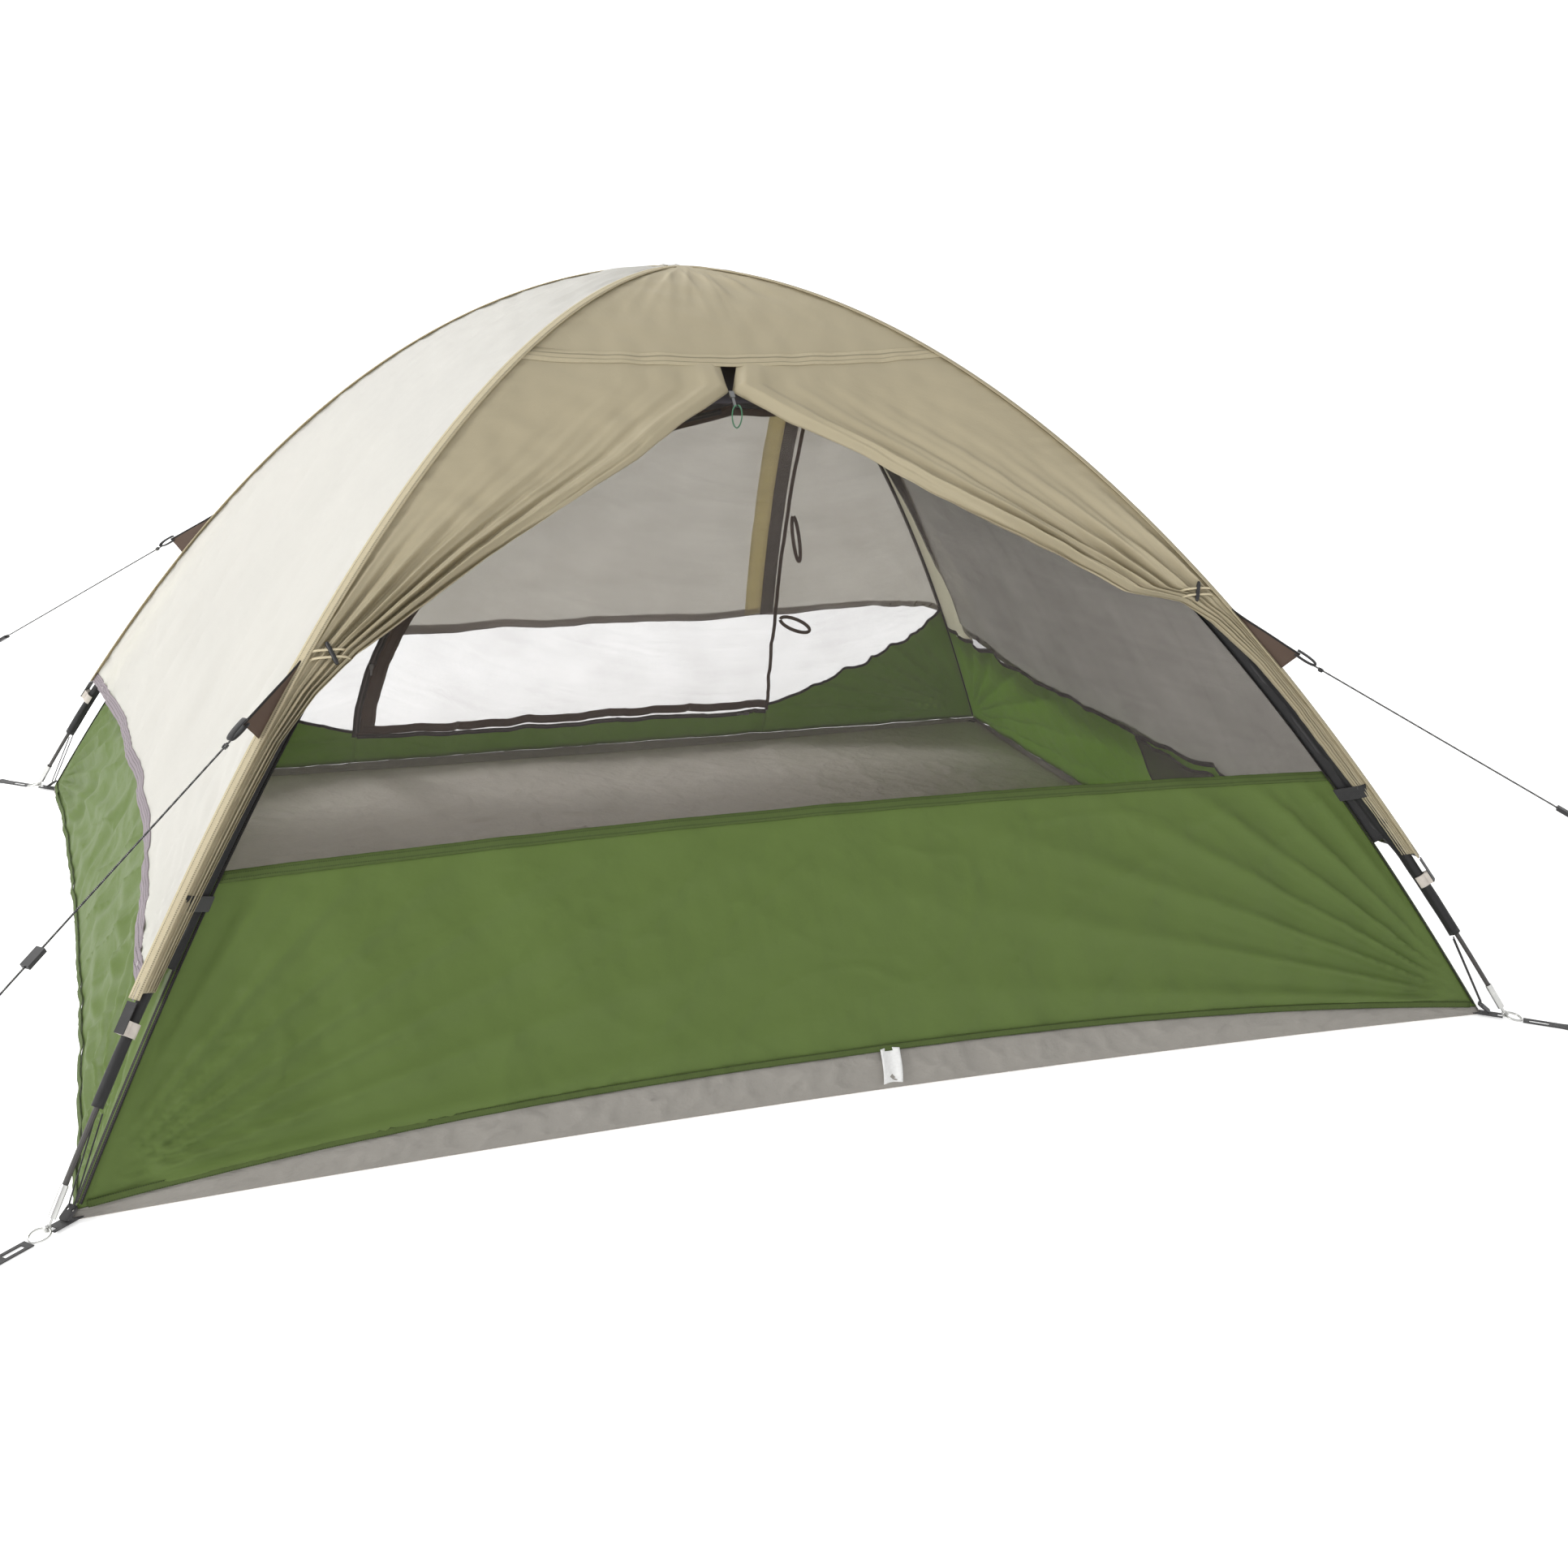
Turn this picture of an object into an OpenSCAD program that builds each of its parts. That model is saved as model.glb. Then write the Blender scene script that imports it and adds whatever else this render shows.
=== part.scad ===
// Two-pole dome tent with its fly on and both halves of the fly's door tied back.
// X runs to the right along the front, Y to the back, Z up. The origin is the middle of
// the floor, on the ground. Corners are counted front left, front right, rear right, rear left,
// and sides are counted front, right, rear, left.

/* [Tent] */
// Floor length from left to right
floor_w = 2440; // [1900:10:3000]
// Floor depth from front to back
floor_d = 2130; // [1700:10:2700]
// Height of the fly over the crossing of the poles
peak_h = 1270; // [1050:10:1600]
// Exponent of the arch: 2 is a parabola, more is squarer
arch_power = 1.9; // [1.75:0.05:2.1]

/* [Poles] */
// Diameter of a fibreglass pole
pole_d = 8.5; // [7:0.1:11]
// Distance of a pole's foot beyond the floor's corner
foot_out = 46; // [40:1:70]
// Wall of the steel ferrules
ferrule_wall = 1.2; // [0.8:0.1:2]
// Length of a ferrule
ferrule_l = 60; // [40:5:90]
// Outer radius of the sleeve round a pole
sleeve_r = 8.5; // [8:0.1:9.5]
// Distance that the sleeve's flat tail reaches from the pole's axis
sleeve_tail = 25; // [15:1:27]
// Height above the ground where the sleeves end
sleeve_end_h = 150; // [90:10:250]

/* [Inner tent] */
// Depth of the inner canopy under the top of the fly
inner_drop = 48; // [47:1:70]
// Thickness of the walls and the mesh
wall_t = 1.2; // [0.8:0.1:3]
// Thickness of the floor
floor_t = 2.5; // [1.5:0.5:4]
// Height of the coloured wall at the front
front_wall_h = 415; // [250:5:600]
// Height of the coloured walls at the sides
side_wall_h = 310; // [200:5:600]
// Height of the rear wall at its corners
rear_wall_h = 375; // [250:5:600]
// How far the walls pull in between the poles
wall_bow = 24; // [0:2:40]
// How far the floor's edges pull in between the corners
floor_bow = 42; // [0:2:60]
// Height of the grey floor edge at the middle of a side
strip_h = 58; // [30:2:90]

/* [Rear door] */
// Distance of the sewn edge right of the middle, at the sill
door_right = 575; // [400:5:650]
// Width of the door along its sill
door_w = 1085; // [700:5:1150]
// Height of the door's sill
sill_h = 88; // [75:1:150]
// Height of the door's top
door_top_h = 960; // [700:10:1000]

/* [Fly] */
// Thickness of the fly
fly_t = 1.6; // [1:0.1:3]
// How far the fly pulls in between the poles
fly_bow = 28; // [0:2:40]
// How far the left fly panel pulls in between the poles
fly_bow_left = 54; // [0:2:60]
// Height of the side hems at the corners
hem_h = 285; // [200:5:350]
// How far the right hem sags between its corners
hem_sag = 45; // [0:5:60]
// Height of the rear hem at its middle
rear_hem_h = 375; // [300:5:500]
// Height of the seam over the door, where it meets the poles
seam_h = 1135; // [1000:5:1180]
// Height of the point where the two door flaps meet
flap_meet_h = 1064; // [950:1:1080]
// Height of the left and right toggles
toggle_h = [712, 735];
// Width of a gathered flap at its toggle
gather_w = 60; // [40:2:90]
// Width of the tape along the hems
tape_w = 22; // [10:1:30]

/* [Lines and hardware] */
// Diameter of the guylines
line_d = 3; // [2:0.5:4]
// Length of a guy tab along the pole
tab_l = 140; // [80:5:180]
// Height of a guy tab over the pole
tab_h = 42; // [25:1:60]
// Wire radius of the corner rings
ring_wire_r = 2; // [1.5:0.1:2.5]
// Radius of the corner rings, to the middle of the wire
ring_r = 15; // [12:0.5:20]
// Width of the black webbing
webbing_w = 20; // [14:1:26]
// Length of a stake loop
stake_loop_l = 92; // [70:1:120]

/* [Hidden] */

FRONT = 0;
RIGHT = 1;
REAR = 2;
LEFT = 3;
gap = 0.4;                // clearance between pieces that don't touch
half_diagonal = norm([floor_w, floor_d]) / 2;
alpha = atan2(floor_d, floor_w);
corner_turn = [180 + alpha, -alpha, alpha, 180 - alpha];

// An arch is [reach at the ground, height of the top, how far it pulls in between the poles].
foot = half_diagonal + foot_out;
fly_clear = sleeve_r + 7;
pole_arch = [foot, peak_h - fly_clear, 0];
fly_arch = [foot + 21, peak_h, fly_bow];
inner_arch = [half_diagonal, peak_h - inner_drop, wall_bow];
rear_arch = [half_diagonal, peak_h - inner_drop, wall_bow / 2];
cross_drop = 2 * sleeve_r + 3;   // how far the lower pole passes under the upper one
cross_reach = 240;               // how far from the crossing it takes to come down
crown_r = 14;                    // the panels end this far from the middle of the crown

function lerp(a, b, t) = a + (b - a) * t;
function rise(r, arch) = arch[1] * (1 - pow(abs(r) / arch[0], arch_power));
function reach(z, arch) = arch[0] * pow(max(0, 1 - z / arch[1]), 1 / arch_power);

// A point of a side: r is the reach along the poles on both sides of it, and u runs from
// -1 at the side's left pole to 1 at its right pole.
function on_side(side, r, u, arch) =
  let (in = arch[2] * (1 - u * u) * r / arch[0], z = rise(r, arch))
  side == FRONT ? [r * cos(alpha) * u, in - r * sin(alpha), z] :
  side == RIGHT ? [r * cos(alpha) - in, r * sin(alpha) * u, z] :
  side == REAR ? [-r * cos(alpha) * u, r * sin(alpha) - in, z] :
  [in - r * cos(alpha), -r * sin(alpha) * u, z];
function half_width(side, r) = r * (side == FRONT || side == REAR ? cos(alpha) : sin(alpha));
function unit(v) = v / norm(v);

// A closed sheet between two grids of points, outer and inner, rows from the top down and
// columns from left to right as seen from outside.
module closed_sheet(outer, inner) {
  rows = len(outer);
  cols = len(outer[0]);
  far = rows * cols;
  function o(i, j) = i * cols + j;
  function n(i, j) = far + i * cols + j;
  function two(a, b, c, d) = [[a, b, c], [a, c, d]];
  points = concat([for (row = outer) each row], [for (row = inner) each row]);
  faces = concat(
    [for (i = [0 : rows - 2], j = [0 : cols - 2])
      each two(o(i, j), o(i, j + 1), o(i + 1, j + 1), o(i + 1, j))],
    [for (i = [0 : rows - 2], j = [0 : cols - 2])
      each two(n(i, j), n(i + 1, j), n(i + 1, j + 1), n(i, j + 1))],
    [for (j = [0 : cols - 2]) each two(o(0, j + 1), o(0, j), n(0, j), n(0, j + 1))],
    [for (j = [0 : cols - 2], e = rows - 1)
      each two(o(e, j), o(e, j + 1), n(e, j + 1), n(e, j))],
    [for (i = [0 : rows - 2]) each two(o(i, 0), o(i + 1, 0), n(i + 1, 0), n(i, 0))],
    [for (i = [0 : rows - 2], e = cols - 1)
      each two(o(i + 1, e), o(i, e), n(i, e), n(i + 1, e))]);
  polyhedron(points, faces, convexity = 6);
}

// A sheet of fabric on a side. reach_of(t, s) and share_of(t, s) give r and u where t runs
// down the sheet and s across it.
module panel(side, arch, thick, rows, cols, reach_of, share_of) {
  inner = [arch[0] - 1.25 * thick, arch[1] - thick, arch[2]];
  function grid(a) = [for (i = [0 : rows]) [for (j = [0 : cols])
    let (t = i / rows, s = j / cols) on_side(side, reach_of(t, s), share_of(t, s), a)]];
  closed_sheet(grid(arch), grid(inner));
}

// A tube along points, with its rings square to it; flat is square to the points' plane.
function heading(p, i) = unit(p[min(i + 1, len(p) - 1)] - p[max(i - 1, 0)]);
function ring(p, i, flat, radii) =
  let (across = cross(heading(p, i), flat), n = len(radii))
  [for (k = [0 : n - 1])
    p[i] + radii[k] * (cos(360 * k / n) * flat + sin(360 * k / n) * across)];
module tube(p, radius, flat = [0, 1, 0], sides = 8) {
  last = len(p) - 1;
  radii = [for (k = [1 : sides]) radius];
  faces = concat([[for (k = [0 : sides - 1]) k]],
    [for (i = [0 : last - 1], k = [0 : sides - 1])
      let (a = i * sides, b = a + sides, q = (k + 1) % sides)
      each [[a + k, b + k, b + q], [a + k, b + q, a + q]]],
    [[for (k = [0 : sides - 1]) last * sides + sides - 1 - k]]);
  polyhedron([for (i = [0 : last]) each ring(p, i, flat, radii)], faces, convexity = 6);
}

// ---- Poles and sleeves ----
pole_r = pole_d / 2;
pole_joints = [0.2, 0.5, 0.77];       // where the sections join, as shares of the foot's reach
section_gap = 1;
ring_step = 58;
foot_angle = atan(pole_arch[1] * arch_power / foot);
tip_low = 24;                          // distances up the leg from the ground
pole_low = 50;
tip_high = 72;
function pole_point(r, drop) = [r, 0, rise(r, pole_arch) - drop * exp(-pow(r / cross_reach, 2))];
function steps(a, b, step) =
  let (n = max(1, ceil(abs(b - a) / step))) [for (i = [0 : n]) lerp(a, b, i / n)];

module pole(drop) {
  low = foot - pole_low * cos(foot_angle);
  ends = concat([-low], [for (j = [2 : -1 : 0]) -pole_joints[j] * foot],
    [for (j = pole_joints) j * foot], [low]);
  for (i = [0 : len(ends) - 2]) {
    a = ends[i] + (i > 0 ? section_gap / 2 : 0);
    b = ends[i + 1] - (i < len(ends) - 2 ? section_gap / 2 : 0);
    tube([for (r = steps(a, b, ring_step)) pole_point(r, drop)], pole_r);
  }
}

module pole_front_left() {
  color("dimgray") rotate([0, 0, alpha]) pole(0);
}

module pole_front_right() {
  color("dimgray") rotate([0, 0, -alpha]) pole(cross_drop);
}

ferrule_clear = 0.9;
module ferrule(r, drop) {
  slope = pole_point(r + 1, drop) - pole_point(r - 1, drop);
  translate(pole_point(r, drop)) rotate([0, 90 - atan2(slope[2], slope[0]), 0])
    translate([0, 0, -ferrule_l / 2]) difference() {
      cylinder(h = ferrule_l, r = pole_r + ferrule_clear + ferrule_wall, $fn = 32);
      translate([0, 0, -1]) cylinder(h = ferrule_l + 2, r = pole_r + ferrule_clear, $fn = 32);
    }
}

module pole_ferrules() {
  color("silver") for (j = pole_joints, end = [-1, 1]) {
    rotate([0, 0, alpha]) ferrule(end * j * foot, 0);
    rotate([0, 0, -alpha]) ferrule(end * j * foot, cross_drop);
  }
}

sleeve_wall = 0.5;
sleeve_sides = 8;
sleeve_step = 66;
tail_side = 6;                         // the side of the sleeve that faces the inner tent
module sleeve(drop) {
  low = reach(sleeve_end_h, pole_arch);
  p = [for (r = steps(-low, low, sleeve_step)) pole_point(r, drop)];
  last = len(p) - 1;
  s = sleeve_sides;
  far = (last + 1) * s;
  tail = [for (q = p) lerp(sleeve_r, sleeve_tail, 1 - exp(-pow(q[0] / cross_reach, 2)))];
  outer = [for (i = [0 : last]) each ring(p, i, [0, 1, 0],
    [for (k = [0 : s - 1]) k == tail_side ? tail[i] : sleeve_r])];
  inner = [for (i = [0 : last]) each ring(p, i, [0, 1, 0],
    [for (k = [1 : s]) sleeve_r - sleeve_wall])];
  faces = [for (k = [0 : s - 1]) let (q = (k + 1) % s) each concat(
    [[k, q, far + q], [k, far + q, far + k]],
    [[last * s + q, last * s + k, far + last * s + k],
      [last * s + q, far + last * s + k, far + last * s + q]],
    [for (i = [0 : last - 1]) let (a = i * s, b = a + s) each [[a + k, b + k, b + q],
      [a + k, b + q, a + q], [far + a + k, far + b + q, far + b + k],
      [far + a + k, far + a + q, far + b + q]]])];
  polyhedron(concat(outer, inner), faces, convexity = 8);
}

module sleeve_front_left() {
  color("#2b2a2c") rotate([0, 0, alpha]) sleeve(0);
}

module sleeve_front_right() {
  color("#2b2a2c") rotate([0, 0, -alpha]) sleeve(cross_drop);
}

// ---- Corners ----
module at_corners() {
  for (turn = corner_turn) rotate([0, 0, turn]) children();
}

// Puts +Z along a pole's leg, with the origin where its axis meets the ground.
module along_leg() {
  translate([foot, 0, 0]) rotate([0, foot_angle - 90, 0]) children();
}

tip_wall = 1;
tip_clear = 0.6;
pin_r = 2.5;
pin_clear = 0.1;
pin_top = 44;
eye_s = 10;                            // the pin's eye, this far up the leg
eye_r = 4.6;
eye_wire_r = 1.8;
module pole_tips() {
  color("gainsboro") at_corners() along_leg() difference() {
    translate([0, 0, tip_low])
      cylinder(h = tip_high - tip_low, r = pole_r + tip_clear + tip_wall, $fn = 48);
    translate([0, 0, tip_low - 1]) cylinder(h = 40, r = pin_r + pin_clear, $fn = 48);
    translate([0, 0, pole_low - 1]) cylinder(h = 40, r = pole_r + tip_clear, $fn = 48);
  }
}

module corner_pins() {
  color("silver") at_corners() along_leg() {
    translate([0, 0, eye_s + eye_r]) cylinder(h = pin_top - eye_s - eye_r, r = pin_r, $fn = 48);
    translate([0, 0, eye_s]) rotate([90, 0, 0])
      rotate_extrude($fn = 48) translate([eye_r, 0]) circle(eye_wire_r, $fn = 20);
  }
}

eye_place = [foot - eye_s * cos(foot_angle), 0, eye_s * sin(foot_angle)];
ring_tilt = asin((eye_place[2] - ring_wire_r - gap) / (2 * ring_r));
ring_out = 2 * ring_r * cos(ring_tilt);  // from the ring's inner wire to its outer wire
module corner_rings() {
  color("silver") at_corners() translate(eye_place) rotate([0, ring_tilt, 0])
    translate([ring_r, 0, 0])
      rotate_extrude($fn = 64) translate([ring_r, 0]) circle(ring_wire_r, $fn = 20);
}

// The webbing that holds a ring stops in a fork on both sides of the pin's eye.
fork_in = 9;
fork_gap = 9;
webbing_t = 1.6;
webbing_z = floor_t + 0.3;
module corner_webbing() {
  low = half_diagonal - 26;
  high = eye_place[0] - ring_wire_r - 1;
  color("#262427") at_corners() translate([0, 0, webbing_z]) linear_extrude(webbing_t)
    difference() {
      translate([low, -webbing_w / 2]) square([high - low, webbing_w]);
      translate([high - fork_in, -fork_gap / 2]) square([fork_in + 1, fork_gap]);
    }
}

// The plastic hook rides over the webbing, and the sleeve's elastics end in its two holes.
hook_l = 26;
hook_w = 18;
hook_t = 3;
hook_hole_r = 2.2;
hook_place = [foot - 44, 0, webbing_z + webbing_t + 9];
hook_tilt = 35;
module corner_hooks() {
  color("#1f1f21") at_corners() translate(hook_place) rotate([0, hook_tilt, 0])
    difference() {
      translate([-hook_l / 2, 0, 0]) linear_extrude(hook_t) hull()
        for (x = [4, hook_l - 4], y = [-1, 1]) translate([x, y * (hook_w / 2 - 4)])
          circle(4, $fn = 24);
      for (y = [-1, 1]) translate([-5, y * 5, -1])
        cylinder(h = hook_t + 2, r = hook_hole_r, $fn = 24);
    }
}

elastic_r = 1.2;
elastic_side = 6;
module sleeve_elastics() {
  top = pole_point(reach(sleeve_end_h - 4, pole_arch), 0);
  color("#1c1c1e") at_corners() for (y = [-1, 1]) {
    from = [top[0] - 7, y * elastic_side, top[2] - 6];
    to = hook_place + [-5, y * 5, 9];
    way = to - from;
    translate(from) rotate([0, 90 - atan2(way[2], norm([way[0], way[1]])), atan2(way[1], way[0])])
      cylinder(h = norm(way), r = elastic_r, $fn = 12);
  }
}

loop_t = 1.8;
loop_start = eye_place[0] + ring_out + ring_wire_r + 1;
tail_w = 28;
eye_hole = [9, 34];
module stake_loop(corner) {
  half = webbing_w / 2;
  color("#262427") rotate([0, 0, corner_turn[corner]]) translate([loop_start, 0, 0.3])
    linear_extrude(loop_t) difference() {
      polygon([[0, -half], [0, half], [stake_loop_l - 26, half], [stake_loop_l, tail_w / 2],
        [stake_loop_l, -tail_w / 2], [stake_loop_l - 26, -half]]);
      translate([10, -eye_hole[0] / 2]) square([eye_hole[1], eye_hole[0]]);
    }
}

// ---- Floor and walls ----
function floor_edge(side, u) =
  let (in = floor_bow * (1 - u * u), x = floor_w / 2, y = floor_d / 2)
  side == FRONT ? [x * u, in - y, 0] : side == RIGHT ? [x - in, y * u, 0] :
  side == REAR ? [-x * u, y - in, 0] : [in - x, -y * u, 0];
edge_cells = 12;

module floor_sheet() {
  color("#968e85") linear_extrude(floor_t)
    polygon([for (side = [FRONT, RIGHT, REAR, LEFT], i = [0 : edge_cells - 1])
      let (q = floor_edge(side, 2 * i / edge_cells - 1)) [q[0], q[1]]]);
}

// The walls start at this height, which rises between the corners.
strip_corner_h = 14;
strip_low_h = strip_corner_h + 4;      // along the front only; elsewhere it stays low
function wall_foot(u, side = FRONT) = strip_corner_h
  + ((side == FRONT ? strip_h : strip_low_h) - strip_corner_h) * (1 - pow(abs(u), 2.5));
function side_arch(side) = side == REAR ? rear_arch : inner_arch;
strip_end = 0.985;                     // the strips stop short of the corners
strip_clear = 3.2 * wall_t;            // the wall's inner edge hangs this far below its outer one
module floor_edge_strips() {
  inward = [[0, 1, 0], [-1, 0, 0], [0, -1, 0], [1, 0, 0]];
  color("#9a9187") for (side = [FRONT, RIGHT, REAR, LEFT]) {
    outer = [for (i = [0 : 2]) [for (j = [0 : edge_cells])
      let (u = strip_end * (2 * j / edge_cells - 1),
        low = floor_edge(side, u) + [0, 0, floor_t + 0.05],
        high = on_side(side, reach(wall_foot(u, side) - strip_clear, side_arch(side)), u,
          side_arch(side)))
      lerp(high, low, i / 2)]];
    closed_sheet(outer, [for (row = outer) [for (q = row) q + inward[side] * wall_t]]);
  }
}

// A wall between two heights, each a function of u.
module wall(side, high_of, low_of, rows, cols, u_from = -1, u_to = 1) {
  arch = side_arch(side);
  share_of = function (t, s) lerp(u_from, u_to, s);
  reach_of = function (t, s) let (u = lerp(u_from, u_to, s)) reach(lerp(high_of(u), low_of(u), t), arch);
  panel(side, arch, wall_t, rows, cols, reach_of, share_of);
}

front_top = function (u) front_wall_h + 6 * (1 - u * u);
side_top = function (u) side_wall_h - 22 * (1 - u * u);
foot_line = function (u) wall_foot(u, RIGHT);
grow = 1.5;                            // sheets that meet along a curve stop this far from it

module front_wall() {
  color("#64804a") wall(FRONT, front_top, function (u) wall_foot(u, FRONT), 4, 12);
}

module right_wall() {
  color("#5f8c46") wall(RIGHT, side_top, foot_line, 3, 12);
}

module left_wall() {
  color("#7f9c68") wall(LEFT, side_top, foot_line, 3, 12);
}

crown_reach = crown_r * 2;
module upper_mesh(side, low_of, cols = 10, rows = 9) {
  arch = side_arch(side);
  reach_of = function (t, s) let (u = 2 * s - 1)
    lerp(crown_reach, reach(low_of(u) + grow, arch), t);
  panel(side, arch, wall_t, rows, cols, reach_of, function (t, s) 2 * s - 1);
}

module front_mesh() {
  color("#b9b4ae", 0.4) upper_mesh(FRONT, front_top);
}

module right_mesh() {
  color("#645c5c") upper_mesh(RIGHT, side_top);
}

module left_mesh() {
  color("#645c5c") upper_mesh(LEFT, side_top);
}

// The rear door is a D: a sewn edge that leans, a level sill and a full curve for the zip.
door_power = 2;
door_lean = 115;                       // how far the sewn edge leans in over the door's height
function door_sewn(z) = door_right - door_lean * (z - sill_h) / (door_top_h - sill_h);
function door_zip(z) =
  let (top_x = door_right - door_lean, share = min(1, max(0, (z - sill_h) / (door_top_h - sill_h))))
  top_x - (top_x - door_right + door_w) * pow(1 - pow(share, door_power), 1 / door_power);
function rear_u(x, z) = -x / half_width(REAR, reach(z, rear_arch));
function rear_top(x) =                 // top of the coloured rear wall, low beside the door
  let (inner = x > 0 ? door_right : door_w - door_right, outer = half_width(REAR, reach(rear_wall_h, rear_arch)),
    t = min(1, max(0, (abs(x) - inner) / (outer - inner))))
  lerp(sill_h + 18, rear_wall_h, pow(t, 0.8));

// Part of the rear between two edges given as x at each height.
module rear_part(z_high, z_low, right_of, left_of, rows, cols) {
  reach_of = function (t, s) reach(lerp(z_high, z_low, t), rear_arch);
  share_of = function (t, s) let (z = lerp(z_high, z_low, t))
    rear_u(lerp(right_of(z), left_of(z), s), z);
  panel(REAR, rear_arch, wall_t, rows, cols, reach_of, share_of);
}

door_top_cut = door_top_h - 6;
right_pole_x = function (z) half_width(REAR, reach(z, rear_arch));
left_pole_x = function (z) -half_width(REAR, reach(z, rear_arch));

module rear_door() {
  color("#8d8884") rear_part(door_top_cut - 8, sill_h + grow,
    function (z) door_sewn(z) - grow, function (z) door_zip(min(z + 7, door_top_h)) + 2 * grow,
    16, 8);
}

// Beside the door the mesh runs down to the coloured wall.
module beside_door(right_of, left_of, high, low_of, rows, cols) {
  reach_of = function (t, s)
    let (zh = high, x = lerp(right_of(zh), left_of(zh), s), zl = low_of(s))
    reach(lerp(zh, zl, t), rear_arch);
  share_of = function (t, s)
    let (zl = low_of(s), z = lerp(high, zl, t)) rear_u(lerp(right_of(z), left_of(z), s), z);
  panel(REAR, rear_arch, wall_t, rows, cols, reach_of, share_of);
}

rear_right_top = function (s) lerp(rear_wall_h, sill_h + 18, pow(s, 0.8));
rear_left_top = function (s) lerp(sill_h + 18, rear_wall_h, pow(s, 1.2));
door_right_edge = function (z) door_sewn(z) + grow;
door_left_edge = function (z) door_zip(z) - 2 * grow;

module rear_mesh() {
  color("#8d8884") {
    panel(REAR, rear_arch, wall_t, 4, 10,
      function (t, s) lerp(crown_reach, reach(door_top_cut + 2, rear_arch), t),
      function (t, s) 2 * s - 1);
    beside_door(right_pole_x, door_right_edge, door_top_cut, rear_right_top, 10, 5);
    beside_door(door_left_edge, left_pole_x, door_top_cut, rear_left_top, 16, 6);
  }
}

// The coloured rear wall: a piece under each mesh corner and a low piece under the door.
module rear_corner_wall(right_of, left_of, top_of, cols) {
  reach_of = function (t, s) reach(lerp(top_of(s) - gap, sill_h - grow, t), rear_arch);
  share_of = function (t, s)
    let (z = lerp(top_of(s) - gap, sill_h - grow, t)) rear_u(lerp(right_of(z), left_of(z), s), z);
  panel(REAR, rear_arch, wall_t, 3, cols, reach_of, share_of);
}

module rear_wall() {
  color("#466932") {
    rear_corner_wall(right_pole_x, door_right_edge, rear_right_top, 5);
    rear_corner_wall(door_left_edge, left_pole_x, rear_left_top, 6);
    wall(REAR, function (u) sill_h - 2 * grow, foot_line, 1, 12);
  }
}

// ---- Inside ----
// Puts +Z square to a side, +X along it to the right as seen from outside, at reach r and share u.
module square_to(side, r, u, arch) {
  q = on_side(side, r, u, arch);
  x = unit(on_side(side, r, u + 0.01, arch) - on_side(side, r, u - 0.01, arch));
  down = unit(on_side(side, r + 1, u, arch) - on_side(side, r - 1, u, arch));
  z = unit(cross(down, x));
  y = cross(z, x);
  multmatrix([[x[0], y[0], z[0], q[0]], [x[1], y[1], z[1], q[1]], [x[2], y[2], z[2], q[2]]])
    children();
}

zip_w = 10;
zip_t = 1;
zip_lift = [-2.4, -2.4 - zip_t];       // the zips lie on the inside of the wall
module zip_run(places) {
  lifted = function (p, lift) p + [0, lift, 0.5 * lift];
  outer = [for (row = places) [for (p = row) lifted(p, zip_lift[0])]];
  inner = [for (row = places) [for (p = row) lifted(p, zip_lift[1])]];
  closed_sheet(outer, inner);
}

function rear_place(x, z) = on_side(REAR, reach(z, rear_arch), rear_u(x, z), rear_arch);
module rear_door_zips() {
  color("#231f1e") {
    zip_run([for (i = [0 : 14]) let (z = lerp(door_top_cut - 12, sill_h + 12, i / 14))
      [rear_place(door_zip(z) + zip_w / 2, z), rear_place(door_zip(z) - zip_w / 2, z)]]);
    zip_run([for (i = [0, 1]) [for (j = [0 : 10]) let (z = sill_h + zip_w * (0.5 - i))
      rear_place(lerp(door_right - 4, door_right - door_w + 12, j / 10), z)]]);
  }
}

slider_size = [9, 14, 3.5];
module slider() {
  color("#8f8f90") {
    translate([-slider_size[0] / 2, -slider_size[1] / 2, 0]) cube(slider_size);
    translate([-2.5, -slider_size[1] / 2 - 20, 0.8]) cube([5, 22, 1.6]);
  }
}

slider_in = 7;                         // the inner sliders hang this far inside the wall
side_slider_h = 300;
module rear_side_slider() {
  x = door_zip(side_slider_h);
  square_to(REAR, reach(side_slider_h, rear_arch), rear_u(x, side_slider_h), rear_arch)
    translate([0, 0, -slider_in]) mirror([0, 0, 1]) slider();
}

sill_slider_x = door_right - 60;
module rear_sill_slider() {
  square_to(REAR, reach(sill_h, rear_arch), rear_u(sill_slider_x, sill_h), rear_arch)
    translate([0, 0, -slider_in]) mirror([0, 0, 1]) rotate([0, 0, 90]) slider();
}

tie_heights = [640, 372];
tie_size = [16, 60, 1.5];
module door_tie_loops() {
  color("#6b5a4a") for (z = tie_heights)
    square_to(REAR, reach(z, rear_arch), rear_u(door_sewn(z) + 22, z), rear_arch)
      translate([-tie_size[0] / 2, -tie_size[1], -6]) difference() {
        cube(tie_size);
        translate([4, 4, -1]) cube([tie_size[0] - 8, tie_size[1] - 8, 4]);
      }
}

pocket_u = [-0.72, -0.1];
pocket_in = 6;
pocket_low = 105;
module wall_pocket() {
  arch = [inner_arch[0] - pocket_in, inner_arch[1] - pocket_in, wall_bow];
  top = side_wall_h - 30;
  color("#4a4245") panel(RIGHT, arch, wall_t, 3, 6,
    function (t, s) reach(lerp(top, pocket_low, t), arch),
    function (t, s) lerp(pocket_u[0], pocket_u[1], s));
}

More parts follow.
